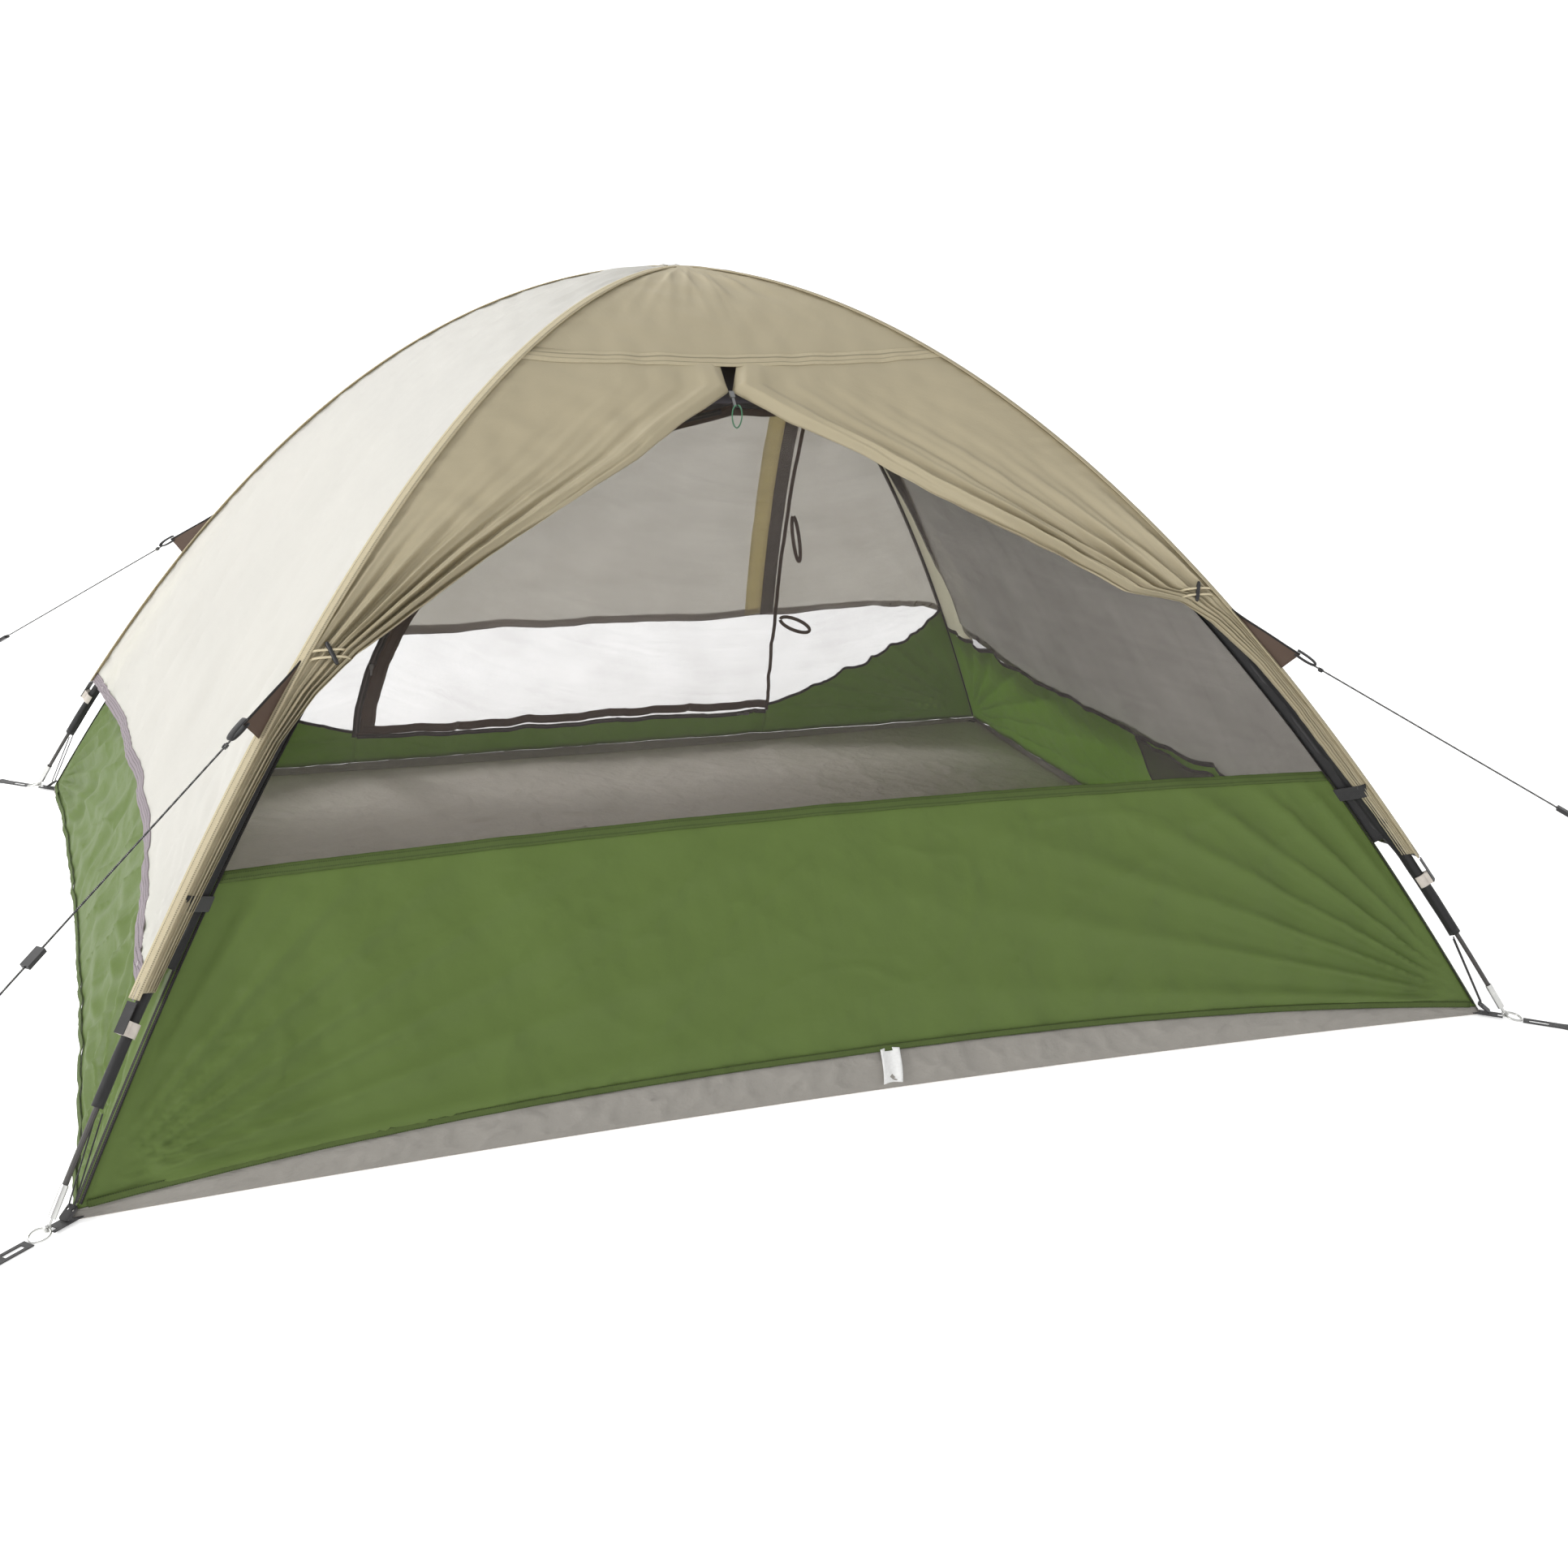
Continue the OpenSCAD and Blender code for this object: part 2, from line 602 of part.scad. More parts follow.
strap_w = 24;
strap_t = 1.6;
module wall_corner_straps() {
  low = front_wall_h - 20;
  leg = pole_point(reach(low, pole_arch), 0);
  start = reach(low, inner_arch) + 5;
  color("#1d1c1e") for (k = [0, 1]) rotate([0, 0, corner_turn[k]])
    for (y = [-1, 1]) translate([start, y * (sleeve_r + 0.8 + strap_t / 2), low])
      rotate([0, 25, 0]) translate([0, -strap_t / 2, -strap_w / 2])
        cube([leg[0] - start + sleeve_r - 4, strap_t, strap_w]);
}

// ---- Fly ----
fly_rows = 10;
function side_fly_arch(side) = [fly_arch[0], fly_arch[1], side == LEFT ? fly_bow_left : fly_arch[2]];
// The left hem rises a little between its corners, and the right hem sags.
function side_hem(side, u) = hem_h + (side == RIGHT ? -hem_sag : 12) * (1 - u * u);
module side_fly(side) {
  color("#efece4") panel(side, side_fly_arch(side), fly_t, fly_rows, 12,
    function (t, s) let (u = 2 * s - 1)
      lerp(crown_r, reach(side_hem(side, u), fly_arch), t),
    function (t, s) 2 * s - 1);
}

module fly_left() {
  side_fly(LEFT);
}

module fly_right() {
  side_fly(RIGHT);
}

module fly_rear() {
  color("#d8d2bd") panel(REAR, fly_arch, fly_t, fly_rows, 14,
    function (t, s) let (u = 2 * s - 1)
      lerp(crown_r, reach(rear_hem_h - 80 * pow(abs(u), 10), fly_arch), t),
    function (t, s) 2 * s - 1);
}

seam_sag = 15;
function seam_line(u) = seam_h - seam_sag * (1 - u * u);
module fly_front_cap() {
  color("#b3aa8e") panel(FRONT, fly_arch, fly_t, 5, 12,
    function (t, s) let (u = 2 * s - 1) lerp(crown_r, reach(seam_line(u) + gap, fly_arch), t),
    function (t, s) 2 * s - 1);
}

// Edge of a door flap: down the middle to where the flaps meet, straight to the toggle, and
// then a gathered strip along the pole.
meet_x = -33;
notch_w = 36;                          // the flaps part in a notch between the seam and the zip's top
strip_w = 28;
function flap_edge(hand, z) =
  let (k = hand < 0 ? 0 : 1, tog = toggle_h[k], half = half_width(FRONT, reach(z, fly_arch)),
    tog_x = half_width(FRONT, reach(tog, fly_arch)) - gather_w,
    start = meet_x + hand * 2)
  z >= flap_meet_h ? start + (hand > 0 ? 1 : -0.1) * notch_w * (z - flap_meet_h) / (seam_h - flap_meet_h) :
  z >= tog ? lerp(hand * tog_x, start, (z - tog) / (flap_meet_h - tog)) :
  hand * (half - lerp(strip_w, gather_w, (z - hem_h) / (tog - hem_h)));

module door_flap(hand) {
  tog = toggle_h[hand < 0 ? 0 : 1];
  r_meet = reach(flap_meet_h, fly_arch);
  down = function (t) lookup(t, [[0.1, r_meet], [0.6, reach(tog, fly_arch)],
    [1, reach(hem_h + 12, fly_arch)]]);
  reach_of = function (t, s)
    let (u = hand * (hand < 0 ? 1 - s : s))
    t < 0.1 ? lerp(reach(seam_line(u), fly_arch), r_meet, t * 10) : down(t);
  share_of = function (t, s)
    let (r = t < 0.1 ? reach(seam_h, fly_arch) : down(t), z = rise(r, fly_arch),
      edge = flap_edge(hand, z) / half_width(FRONT, r))
    hand < 0 ? lerp(-1, edge, s) : lerp(edge, 1, s);
  panel(FRONT, fly_arch, fly_t, 20, 6, reach_of, share_of);
}

module fly_door_left() {
  color("#c3baa0") door_flap(-1);
}

module fly_door_right() {
  color("#c3baa0") door_flap(1);
}

patch_r = 30;
module fly_crown_patch() {
  color("#a59c82") translate([0, 0, peak_h + 0.2]) cylinder(h = 1.2, r1 = patch_r, r2 = 4, $fn = 48);
}

tape_lift = 0.5;
tape_t = 0.8;
module tape(side, hem_of) {
  arch = [fly_arch[0] + 3, fly_arch[1] + 1.8, side_fly_arch(side)[2]];
  color("#8f878c") panel(side, arch, tape_t, 1, 14,
    function (t, s) let (u = 2 * s - 1, z = hem_of(u))
      reach(lerp(z + tape_w * 0.8, z + 1, t), arch),
    function (t, s) 2 * s - 1);
}

module fly_hem_tape() {
  tape(LEFT, function (u) side_hem(LEFT, u));
  tape(RIGHT, function (u) side_hem(RIGHT, u));
  tape(REAR, function (u) rear_hem_h - 80 * pow(abs(u), 10));
}

zip_flap_w = 34;
module fly_rear_zip_flap() {
  arch = [fly_arch[0] + 5, fly_arch[1] + 3.4, fly_arch[2]];
  high = 925;
  color("#a3967c") panel(REAR, arch, 1, 8, 2,
    function (t, s) reach(lerp(high, rear_hem_h + tape_w + 4, t), arch),
    function (t, s) let (z = lerp(high, rear_hem_h + tape_w + 4, t))
      -(door_sewn(z) + zip_flap_w * (0.5 - s)) / half_width(REAR, reach(z, arch)));
}

// The fly's corners: a webbing tab and a clip that snaps over the sleeved pole.
clip_l = 22;
clip_clear = 1.2;
clip_wall = 2.4;
clip_drop = 34;                        // the clips sit this far below the side hems
tab_out = 5;                           // the tabs lie this far outside the clips
tab_l_up = 26;                         // a tab runs this far up onto the fly
clip_mouth = 100;
module at_clip() {
  at = reach(hem_h - clip_drop, pole_arch);
  q = pole_point(at, 0);
  slope = pole_point(at + 1, 0) - pole_point(at - 1, 0);
  at_corners() translate(q) rotate([0, 90 - atan2(slope[2], slope[0]), 0]) children();
}

module fly_corner_clips() {
  r = sleeve_r + clip_clear;
  color("#a39b94") at_clip() difference() {
    union() {
      cylinder(h = clip_l, r = r + clip_wall, $fn = 40);
      translate([-r - clip_wall - tab_out + gap, -8, 0]) cube([tab_out + clip_wall, 16, clip_l]);
    }
    translate([0, 0, -1]) cylinder(h = clip_l + 2, r = r, $fn = 40);
    translate([0, 0, -1]) linear_extrude(clip_l + 2)
      polygon([[0, 0], [30, -30 * tan(clip_mouth / 2)], [30, 30 * tan(clip_mouth / 2)]]);
  }
}

module fly_corner_tabs() {
  out = sleeve_r + clip_clear + clip_wall + tab_out + tab_t;
  color("#54443d") at_clip() translate([-out, -9, -tab_l_up]) cube([tab_t, 18, tab_l_up + clip_l]);
}

// ---- Toggles and the front zip ----
toggle_r = 3.5;
toggle_l = 40;
toggle_lift = 9;
module at_toggle(k) {
  hand = 2 * k - 1;
  r = reach(toggle_h[k], fly_arch);
  half = half_width(FRONT, r);
  square_to(FRONT, r, hand * (half - gather_w + 18) / half, fly_arch) children();
}

module toggle(k) {
  hand = 2 * k - 1;
  color("#1b1b1d") at_toggle(k) translate([0, 0, toggle_lift])
    rotate([0, 0, hand * -18]) rotate([90, 0, 0]) translate([0, 0, -toggle_l / 2])
      cylinder(h = toggle_l, r = toggle_r, $fn = 24);
}

module toggle_loops() {
  color("#c9bd9c") for (k = [0, 1]) {
    hand = 2 * k - 1;
    at_toggle(k) translate([hand > 0 ? -20 : -34, -6, 2.4]) cube([54, 12, 1.6]);
  }
}

zip_top_r = reach(flap_meet_h, fly_arch);
module at_zip_top() {
  square_to(FRONT, zip_top_r, meet_x / half_width(FRONT, zip_top_r), fly_arch) children();
}

module front_zip_slider() {
  at_zip_top() translate([0, 4, 1.2]) slider();
}

pull_r = 9;
module zip_pull_cord() {
  color("#3c644b") at_zip_top() translate([0, -34, 3.2]) difference() {
    rotate_extrude($fn = 40) translate([pull_r, 0]) circle(1.2, $fn = 16);
    translate([-3, pull_r - 4, -3]) cube([6, 8, 6]);
  }
}

// ---- Guy tabs, lines and tensioners ----
tab_high = 1100;                       // reach of a tab's upper end
tab_t = 1.5;
function over_fly(r, out) =
  let (p = [r, rise(r, fly_arch)], q = [r + 1, rise(r + 1, fly_arch)], d = unit(q - p))
  p + out * [-d[1], d[0]];
tab_low = tab_high + tab_l * cos(atan(fly_arch[1] * arch_power / fly_arch[0] * pow(0.68, arch_power - 1)));
tab_tip = over_fly(tab_low, tab_h);
module guy_tabs() {
  color("#69584e") at_corners() translate([0, tab_t / 2, 0]) rotate([90, 0, 0])
    linear_extrude(tab_t)
      polygon([over_fly(tab_high, 2), over_fly(tab_low, 2), tab_tip, over_fly(tab_low - 14, tab_h)]);
}

tab_loop_l = 18;
module guy_tab_loops() {
  color("#262427") at_corners() translate([tab_tip[0] + gap, 0, tab_tip[1]]) rotate([0, 29, 0])
    translate([0, -1.5, -7]) cube([tab_loop_l, 3, 12]);
}

// Routes of the guylines as [distance from the middle, sideways, height], in each corner's own
// plane: straight down to the tensioner, round the loop for the stake and back to its knot.
line_rear_left = [[1256, 0, 618], [1376, 0, 552], [1496, 0, 486], [1616, 0, 420], [1736, 0, 354],
  [1796, 0, 321], [1836, 5, 299], [1876, 11, 277], [1906, 13, 260], [1926, 8, 249],
  [1932, 0, 246], [1926, -8, 249], [1906, -13, 260], [1876, -11, 277], [1840, -6, 297],
  [1816, -4, 310]];
line_front_left = [[1256, 0, 618], [1376, 0, 552], [1496, 0, 486], [1616, 0, 420], [1696, 0, 376],
  [1716, 2, 365], [1756, 8, 343], [1796, 12, 321], [1826, 13, 304], [1846, 8, 293],
  [1852, 0, 290], [1846, -8, 293], [1826, -13, 304], [1796, -12, 321], [1756, -8, 343],
  [1726, -4, 360]];
line_front_right = [[1256, 0, 618], [1376, 0, 561], [1496, 0, 504], [1616, 0, 447], [1736, 0, 390],
  [1776, 0, 371], [1816, 5, 352], [1856, 11, 333], [1886, 13, 319], [1906, 8, 309],
  [1912, 0, 306], [1906, -8, 309], [1886, -13, 319], [1856, -11, 333], [1820, -6, 350],
  [1796, -4, 362]];
line_routes = [line_front_left, line_front_right, line_rear_left, line_rear_left];
tensioner_at = [1656, 1726, 1746, 1746];   // distance of each tensioner's lower end
line_r = line_d / 2;
function line_angle(k) = let (p = line_routes[k]) atan2(p[0][2] - p[1][2], p[1][0] - p[0][0]);

module guyline(k) {
  tilt = line_angle(k);
  color("#3a3a3c") rotate([0, 0, corner_turn[k]])
    tube(line_routes[k], line_r, [sin(tilt), 0, cos(tilt)]);
}

tensioner_l = 34;
tensioner_w = 16;
tensioner_t = 7;
line_clear = 0.6;
module tensioner(k) {
  tilt = line_angle(k);
  p = line_routes[k];
  z = p[0][2] - (tensioner_at[k] - p[0][0]) * tan(tilt);
  color("#1e1e20") rotate([0, 0, corner_turn[k]]) translate([tensioner_at[k], 0, z])
    rotate([0, tilt - 90, 0]) difference() {
      translate([-tensioner_t / 2, -tensioner_w / 2, 0])
        cube([tensioner_t, tensioner_w, tensioner_l]);
      translate([0, 0, -1]) cylinder(h = tensioner_l + 2, r = line_r + line_clear, $fn = 24);
    }
}

label_size = [34, 1, 62];
module care_label() {
  r = reach(wall_foot(0), inner_arch);
  y = on_side(FRONT, r, 0, inner_arch)[1];
  color("white") translate([-label_size[0] / 2, y - 20, 0.5]) rotate([-16, 0, 0]) cube(label_size);
}

pole_front_left();
pole_front_right();
pole_ferrules();
pole_tips();
corner_pins();
corner_rings();
corner_hooks();
corner_webbing();
stake_loop(0);  // stake_loop_front_left
stake_loop(1);  // stake_loop_front_right
stake_loop(2);  // stake_loop_rear_right
stake_loop(3);  // stake_loop_rear_left
sleeve_front_left();
sleeve_front_right();
sleeve_elastics();
floor_sheet();  // floor
floor_edge_strips();
front_wall();
right_wall();
rear_wall();
left_wall();
front_mesh();
right_mesh();
rear_mesh();
left_mesh();
rear_door();
rear_door_zips();
rear_side_slider();
rear_sill_slider();
door_tie_loops();
wall_pocket();
wall_corner_straps();
fly_front_cap();
fly_left();
fly_right();
fly_rear();
fly_door_left();
fly_door_right();
fly_crown_patch();
fly_hem_tape();
fly_rear_zip_flap();
fly_corner_tabs();
fly_corner_clips();
toggle_loops();
toggle(0);  // left_toggle
toggle(1);  // right_toggle
front_zip_slider();
zip_pull_cord();
guy_tabs();
guy_tab_loops();
guyline(0);  // guyline_front_left
guyline(1);  // guyline_front_right
guyline(2);  // guyline_rear_right
guyline(3);  // guyline_rear_left
tensioner(0);  // tensioner_front_left
tensioner(1);  // tensioner_front_right
tensioner(2);  // tensioner_rear_right
tensioner(3);  // tensioner_rear_left
care_label();
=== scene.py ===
"""Dome tent: cloth, nets, lines, fasteners and stage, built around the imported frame."""
from math import atan2, cos, pi, radians, sin

import bpy
import numpy as np
from bpy.props import FloatProperty, FloatVectorProperty, PointerProperty
from mathutils import Matrix, Vector


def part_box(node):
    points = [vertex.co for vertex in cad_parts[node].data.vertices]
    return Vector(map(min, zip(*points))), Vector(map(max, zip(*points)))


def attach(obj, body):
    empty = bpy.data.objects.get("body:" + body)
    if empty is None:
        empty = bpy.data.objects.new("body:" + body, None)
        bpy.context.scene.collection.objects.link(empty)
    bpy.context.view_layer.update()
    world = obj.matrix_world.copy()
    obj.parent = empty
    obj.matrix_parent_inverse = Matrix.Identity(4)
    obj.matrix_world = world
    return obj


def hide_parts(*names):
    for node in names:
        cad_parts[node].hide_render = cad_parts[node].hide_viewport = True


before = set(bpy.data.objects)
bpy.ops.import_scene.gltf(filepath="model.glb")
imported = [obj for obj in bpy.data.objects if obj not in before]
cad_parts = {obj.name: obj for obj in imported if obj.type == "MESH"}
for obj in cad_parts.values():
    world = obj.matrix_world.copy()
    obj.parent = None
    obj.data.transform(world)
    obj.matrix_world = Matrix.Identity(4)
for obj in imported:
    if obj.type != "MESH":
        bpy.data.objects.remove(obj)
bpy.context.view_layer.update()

bl_info = {
    "name": "Dome tent",
    "version": (1, 0, 0),
    "blender": (4, 5, 0),
    "location": "3D View > Sidebar > Tent",
    "description": "Builds the cloth, nets, lines, fasteners and stage of a two-pole dome tent",
    "category": "Object",
}

FRONT, RIGHT, REAR, LEFT = range(4)
CORNERS = ["front_left", "front_right", "rear_right", "rear_left"]
TENT = "tent"

floor_low, floor_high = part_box("floor")
fly_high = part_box("fly_left")[1]


# ---- Sizes and colours a user may change ----
def length(name, description, default):
    """A size in metres."""
    return FloatProperty(name=name, description=description, default=default, subtype="DISTANCE",
                         unit="LENGTH", precision=4)


def colour(name, description, default):
    """A colour as linear red, green and blue."""
    return FloatVectorProperty(name=name, description=description, default=default, size=3,
                               subtype="COLOR", min=0, max=1)


class TentSizes(bpy.types.PropertyGroup):
    """Sizes of the pitched tent."""
    floor_width: length("Floor width", "From the left corners to the right corners",
                        round(floor_high[0] - floor_low[0], 4))
    floor_depth: length("Floor depth", "From the front corners to the rear corners",
                        round(floor_high[1] - floor_low[1], 4))
    peak_height: length("Peak height", "Height of the fly over the poles' crossing",
                        round(fly_high[2], 4))
    foot_out: length("Foot beyond corner", "Distance of a pole's foot beyond the floor's corner", 0.046)
    fly_clear: length("Fly clearance", "Height of the fly over a pole's axis at the top", 0.0155)
    fly_reach: length("Fly reach", "How far the fly's arch stands outside the pole's foot", 0.021)
    fly_pull: length("Fly pull", "How far the fly pulls in between the poles", 0.028)
    left_pull: length("Left fly pull", "How far the left fly panel pulls in between the poles", 0.054)
    inner_drop: length("Inner drop", "Depth of the inner tent's top under the fly", 0.048)
    wall_pull: length("Wall pull", "How far the walls pull in between the poles", 0.024)
    floor_pull: length("Floor pull", "How far the floor's edges pull in between the corners", 0.042)
    side_hem: length("Side hem", "Height of the fly's side hems at the corners", 0.285)
    rear_hem: length("Rear hem", "Height of the fly's rear hem", 0.375)
    hem_sag: length("Right hem sag", "How far the right hem hangs between its corners", 0.045)
    cap_seam: length("Cap seam", "Height of the seam over the door at the poles", 1.135)
    front_wall: length("Front wall", "Height of the coloured wall at the front", 0.415)
    side_wall: length("Side wall", "Height of the coloured walls at the sides", 0.310)
    rear_wall: length("Rear wall", "Height of the coloured rear wall at its corners", 0.375)
    # Above these heights the inner tent gets a dark solid sheet that stands for the net's shaded look at
    # the crown: painted shade.
    lining: length("Crown lining", "Height above which the inner tent is solid cloth", 0.940)
    front_shade_sheet: length("Front lining", "Height above which the front is solid cloth", 1.050)
    line: length("Guyline", "Diameter of the guylines", 0.003)


class TentColours(bpy.types.PropertyGroup):
    """Colours of the cloths and fittings."""
    pale: colour("Pale fly", "Side and rear panels of the fly", (0.765, 0.755, 0.72))
    # The fly is one cloth: this darker, yellower copy of the pale fly colour paints the shade of the front
    # onto the cap and door flaps.
    shaded_fly: colour("Khaki fly", "Cap and door flaps of the fly", (0.52, 0.46, 0.32))
    green: colour("Green walls", "Coloured walls of the inner tent", (0.148, 0.216, 0.053))
    floor: colour("Floor", "Groundsheet", (0.60, 0.565, 0.51))
    net: colour("Net", "Insect net", (0.12, 0.105, 0.1))
    # Colour of the dark sheet at the crown: painted shade over the net.
    lining: colour("Crown lining", "Solid cloth at the top of the inner tent", (0.075, 0.068, 0.078))
    binding: colour("Binding", "Dark tape along the inner seams", (0.022, 0.02, 0.019))
    hem: colour("Hem tape", "Tape along the fly's hems", (0.30, 0.26, 0.28))
    brown: colour("Brown tape", "Guy tabs, tie loops and door edges", (0.13, 0.088, 0.066))
    black: colour("Black", "Webbing, sleeves and plastic", (0.012, 0.0115, 0.012))
    metal: colour("Steel", "Pins, rings and pole tips", (0.62, 0.62, 0.60))
    cord: colour("Pull cord", "Cord on the front zip", (0.035, 0.13, 0.065))


class TentView(bpy.types.PropertyGroup):
    """Camera and lights."""
    lens: FloatProperty(name="Lens", description="Focal length", default=44.4, unit="CAMERA")
    yaw: FloatProperty(name="Yaw", description="Heading to the right of straight ahead",
                       default=radians(20.9), subtype="ANGLE", unit="ROTATION")
    pitch: FloatProperty(name="Pitch", description="Angle that the camera looks down",
                         default=radians(16.99), subtype="ANGLE", unit="ROTATION")
    roll: FloatProperty(name="Roll", description="Tilt of the camera", default=radians(1.56),
                        subtype="ANGLE", unit="ROTATION")
    place: FloatVectorProperty(name="Place", description="Where the camera stands",
                               default=(-1.160, -3.674, 1.410), size=3, subtype="TRANSLATION")
    key: FloatProperty(name="Key light", description="Power of the large light from the left rear",
                       default=330.0, min=0, unit="POWER")
    fill: FloatProperty(name="Fill light", description="Power of the light that grazes the front",
                        default=210.0, min=0, unit="POWER")


# ---- Shape of the tent ----
class Arch:
    """Line of the poles or of the cloth over them: height = top x (1 - (reach / base) ^ power),
    and between two poles the cloth pulls in by pull at the ground."""

    def __init__(self, base, top, pull, power=1.9):
        self.base, self.top, self.pull, self.power = base, top, pull, power
        r = np.linspace(0, base, 400)
        step = np.hypot(np.diff(r), np.diff(self.rise(r)))
        self.table = r, np.concatenate([[0], np.cumsum(step)])

    def rise(self, r):
        """Height at a reach from the middle."""
        return self.top * (1 - (np.abs(r) / self.base) ** self.power)

    def reach(self, z):
        """Reach from the middle at a height."""
        return self.base * np.maximum(0, 1 - z / self.top) ** (1 / self.power)

    def run(self, r):
        """Length along the arch from its top."""
        return np.interp(r, *self.table)


class Shape:
    """Where everything on the tent is. A side's points are given by r, the reach along the
    poles beside it, and u, from -1 at its left pole to 1 at its right pole, seen from outside."""

    def __init__(self, sizes):
        self.sizes = sizes
        width, depth = sizes.floor_width, sizes.floor_depth
        self.diagonal = np.hypot(width, depth) / 2
        self.turn = atan2(depth, width)
        self.foot = self.diagonal + sizes.foot_out
        inner_top = sizes.peak_height - sizes.inner_drop
        self.pole = Arch(self.foot, sizes.peak_height - sizes.fly_clear, 0)
        self.fly = Arch(self.foot + sizes.fly_reach, sizes.peak_height, sizes.fly_pull)
        self.fly_left = Arch(self.foot + sizes.fly_reach, sizes.peak_height, sizes.left_pull)
        self.inner = Arch(self.diagonal, inner_top, sizes.wall_pull)
        self.rear = Arch(self.diagonal, inner_top, sizes.wall_pull / 2)
        self.corner_turn = [pi + self.turn, -self.turn, self.turn, pi - self.turn]

    def half(self, side, r):
        """Half the width of a side at a reach."""
        return r * (cos(self.turn) if side in (FRONT, REAR) else sin(self.turn))

    def point(self, side, r, u, arch):
        """Point of a side: along the ruled line between two poles, pulled in by (1 - u^2)."""
        pull = arch.pull * (1 - u * u) * r / arch.base
        wide, deep = r * cos(self.turn), r * sin(self.turn)
        x, y = {FRONT: lambda: (wide * u, pull - deep), RIGHT: lambda: (wide - pull, deep * u),
                REAR: lambda: (-wide * u, deep - pull), LEFT: lambda: (pull - wide, -deep * u)}[side]()
        return joined(x, y, arch.rise(r))

    def normal(self, side, r, u, arch):
        """Outward normal: the cross product of the steps down and across."""
        e = 1e-4
        down = self.point(side, r + e, u, arch) - self.point(side, r - e, u, arch)
        across = self.point(side, r, u + e, arch) - self.point(side, r, u - e, arch)
        return unit(np.cross(down, across))

    def fly_arch(self, side):
        """Arch of a fly side: the left panel pulls in further."""
        return self.fly_left if side == LEFT else self.fly

    def inner_arch(self, side):
        """Arch of an inner side: the rear pulls in less."""
        return self.rear if side == REAR else self.inner

    def fly_skin(self, side, r, u, out=0.0):
        """Point of the folded fly, out metres outside it: long folds down the side panels,
        billows across the rear, folds that spread from the corners, puckers beside the ridges."""
        r, u = np.broadcast_arrays(np.asarray(r, float), np.asarray(u, float))
        arch = self.fly_arch(side)
        a, d = self.half(side, r) * u, arch.run(r)
        e = self.half(side, r) * (1 - np.abs(u))
        free = 1 - np.exp(-(e / 0.05) ** 2)
        hem = arch.run(arch.reach(self.sizes.side_hem))
        hem_half = self.half(side, arch.reach(self.sizes.side_hem))
        seed = 11 + side
        lift = 0.0028 * ripples(a, d, seed, 0.42, 0.6) + 0.0010 * ripples(a, d, seed + 10, 0.10, 0.7)
        low = ease(d, 0.35, hem)
        for hand in (-1, 1):
            lift = lift + 0.0034 * fan(a, d, (hand * hem_half, hem + 0.02), 46, seed + hand, 0.10, 0.50)
            lift = lift + 0.0016 * fan(a, d, (hand * 0.02, -0.03), 38, seed + 3 + hand, 0.12, 0.40)
        if side == REAR:
            lift = lift + 0.0080 * ripples(a, d, 31, 0.14, 5.0) + 0.004 * ripples(a, d, 32, 0.3, 3.0)
            lift = lift * (1 - np.exp(-((a + door_sewn(arch.rise(r)) - 0.028) / 0.055) ** 2))
        if side in (LEFT, RIGHT):
            calm = 1 - 0.8 * np.exp(-np.maximum(hem - d, 0) / 0.10)
            lift = lift + calm * (0.0026 + 0.0022 * low) * ripples(a, d * 0.10, seed + 40, 0.14, 1.0)
            lift = lift + 0.0007 * ripples(a, d * 0.16, seed + 41, 0.06, 1.0)
            lift = lift + 0.005 * np.sin(a * 7 + side) * np.exp(-np.maximum(hem - d, 0) / 0.10)
        pucker = np.exp(-e / 0.030) * (1 - np.exp(-(e / 0.006) ** 2))
        lift = lift * free + 0.0016 * pucker * ripples(a * 0, d, seed + 20, 0.035, 1.0)
        return self.point(side, r, u, arch) + self.normal(side, r, u, arch) * (lift + out)[..., None]

    def inner_skin(self, side, r, u, out=0.0):
        """Point of the folded inner tent, out metres outside it; its walls crease more than its nets."""
        r, u = np.broadcast_arrays(np.asarray(r, float), np.asarray(u, float))
        arch = self.inner_arch(side)
        a, d = self.half(side, r) * u, arch.run(r)
        e = self.half(side, r) * (1 - np.abs(u))
        foot, foot_half = arch.run(arch.base * 0.99), self.half(side, arch.base)
        low = np.clip((d - arch.run(arch.reach(0.45))) / 0.12, 0, 1)
        free = 1 - np.exp(-(e / 0.05) ** 2)
        seed = 51 + side
        lift = 0.0020 * ripples(a, d, seed, 0.32, 0.5) + 0.0007 * ripples(a, d, seed + 10, 0.07, 0.8)
        folds = 0.0
        for hand, strong in ((-1, 1.05), (1, 1.25)):
            folds = folds + strong * fan(a, d, (hand * foot_half, foot), 40, seed + hand, 0.08, 0.95)
            folds = folds + 0.35 * fan(a, d, (hand * foot_half, foot), 84, seed + 5 + hand, 0.05, 0.45)
        slanted = a * 0.8 - d * 0.6
        creases = crease(ripples(slanted * 0.35, d * 0.8 + a * 0.6, seed + 30, 0.20, 1.0), 0.09)
        creases = creases + 0.6 * crease(ripples(a - d * 0.5, d * 0.7, seed + 31, 0.12, 1.0), 0.07)
        upright = ripples(a, d * 0.15, seed + 32, 0.12, 1.0)
        lift = lift + low * (0.0060 * folds + 0.0036 * creases + 0.0030 * upright)
        if side in (LEFT, RIGHT):
            lift = lift + low * 0.0016 * ripples(a + d * 0.35, d * 0.2, seed + 33, 0.085, 1.0)
        near_floor = np.exp(-(foot - d) / 0.05)
        lift = lift + low * near_floor * 0.0010 * ripples(a, d * 0.5, seed + 40, 0.09, 1.0)
        lift = lift * (1 - 0.6 * np.exp(-np.maximum(foot - d, 0) / 0.02))
        return self.point(side, r, u, arch) + self.normal(side, r, u, arch) * (lift * free + out)[..., None]

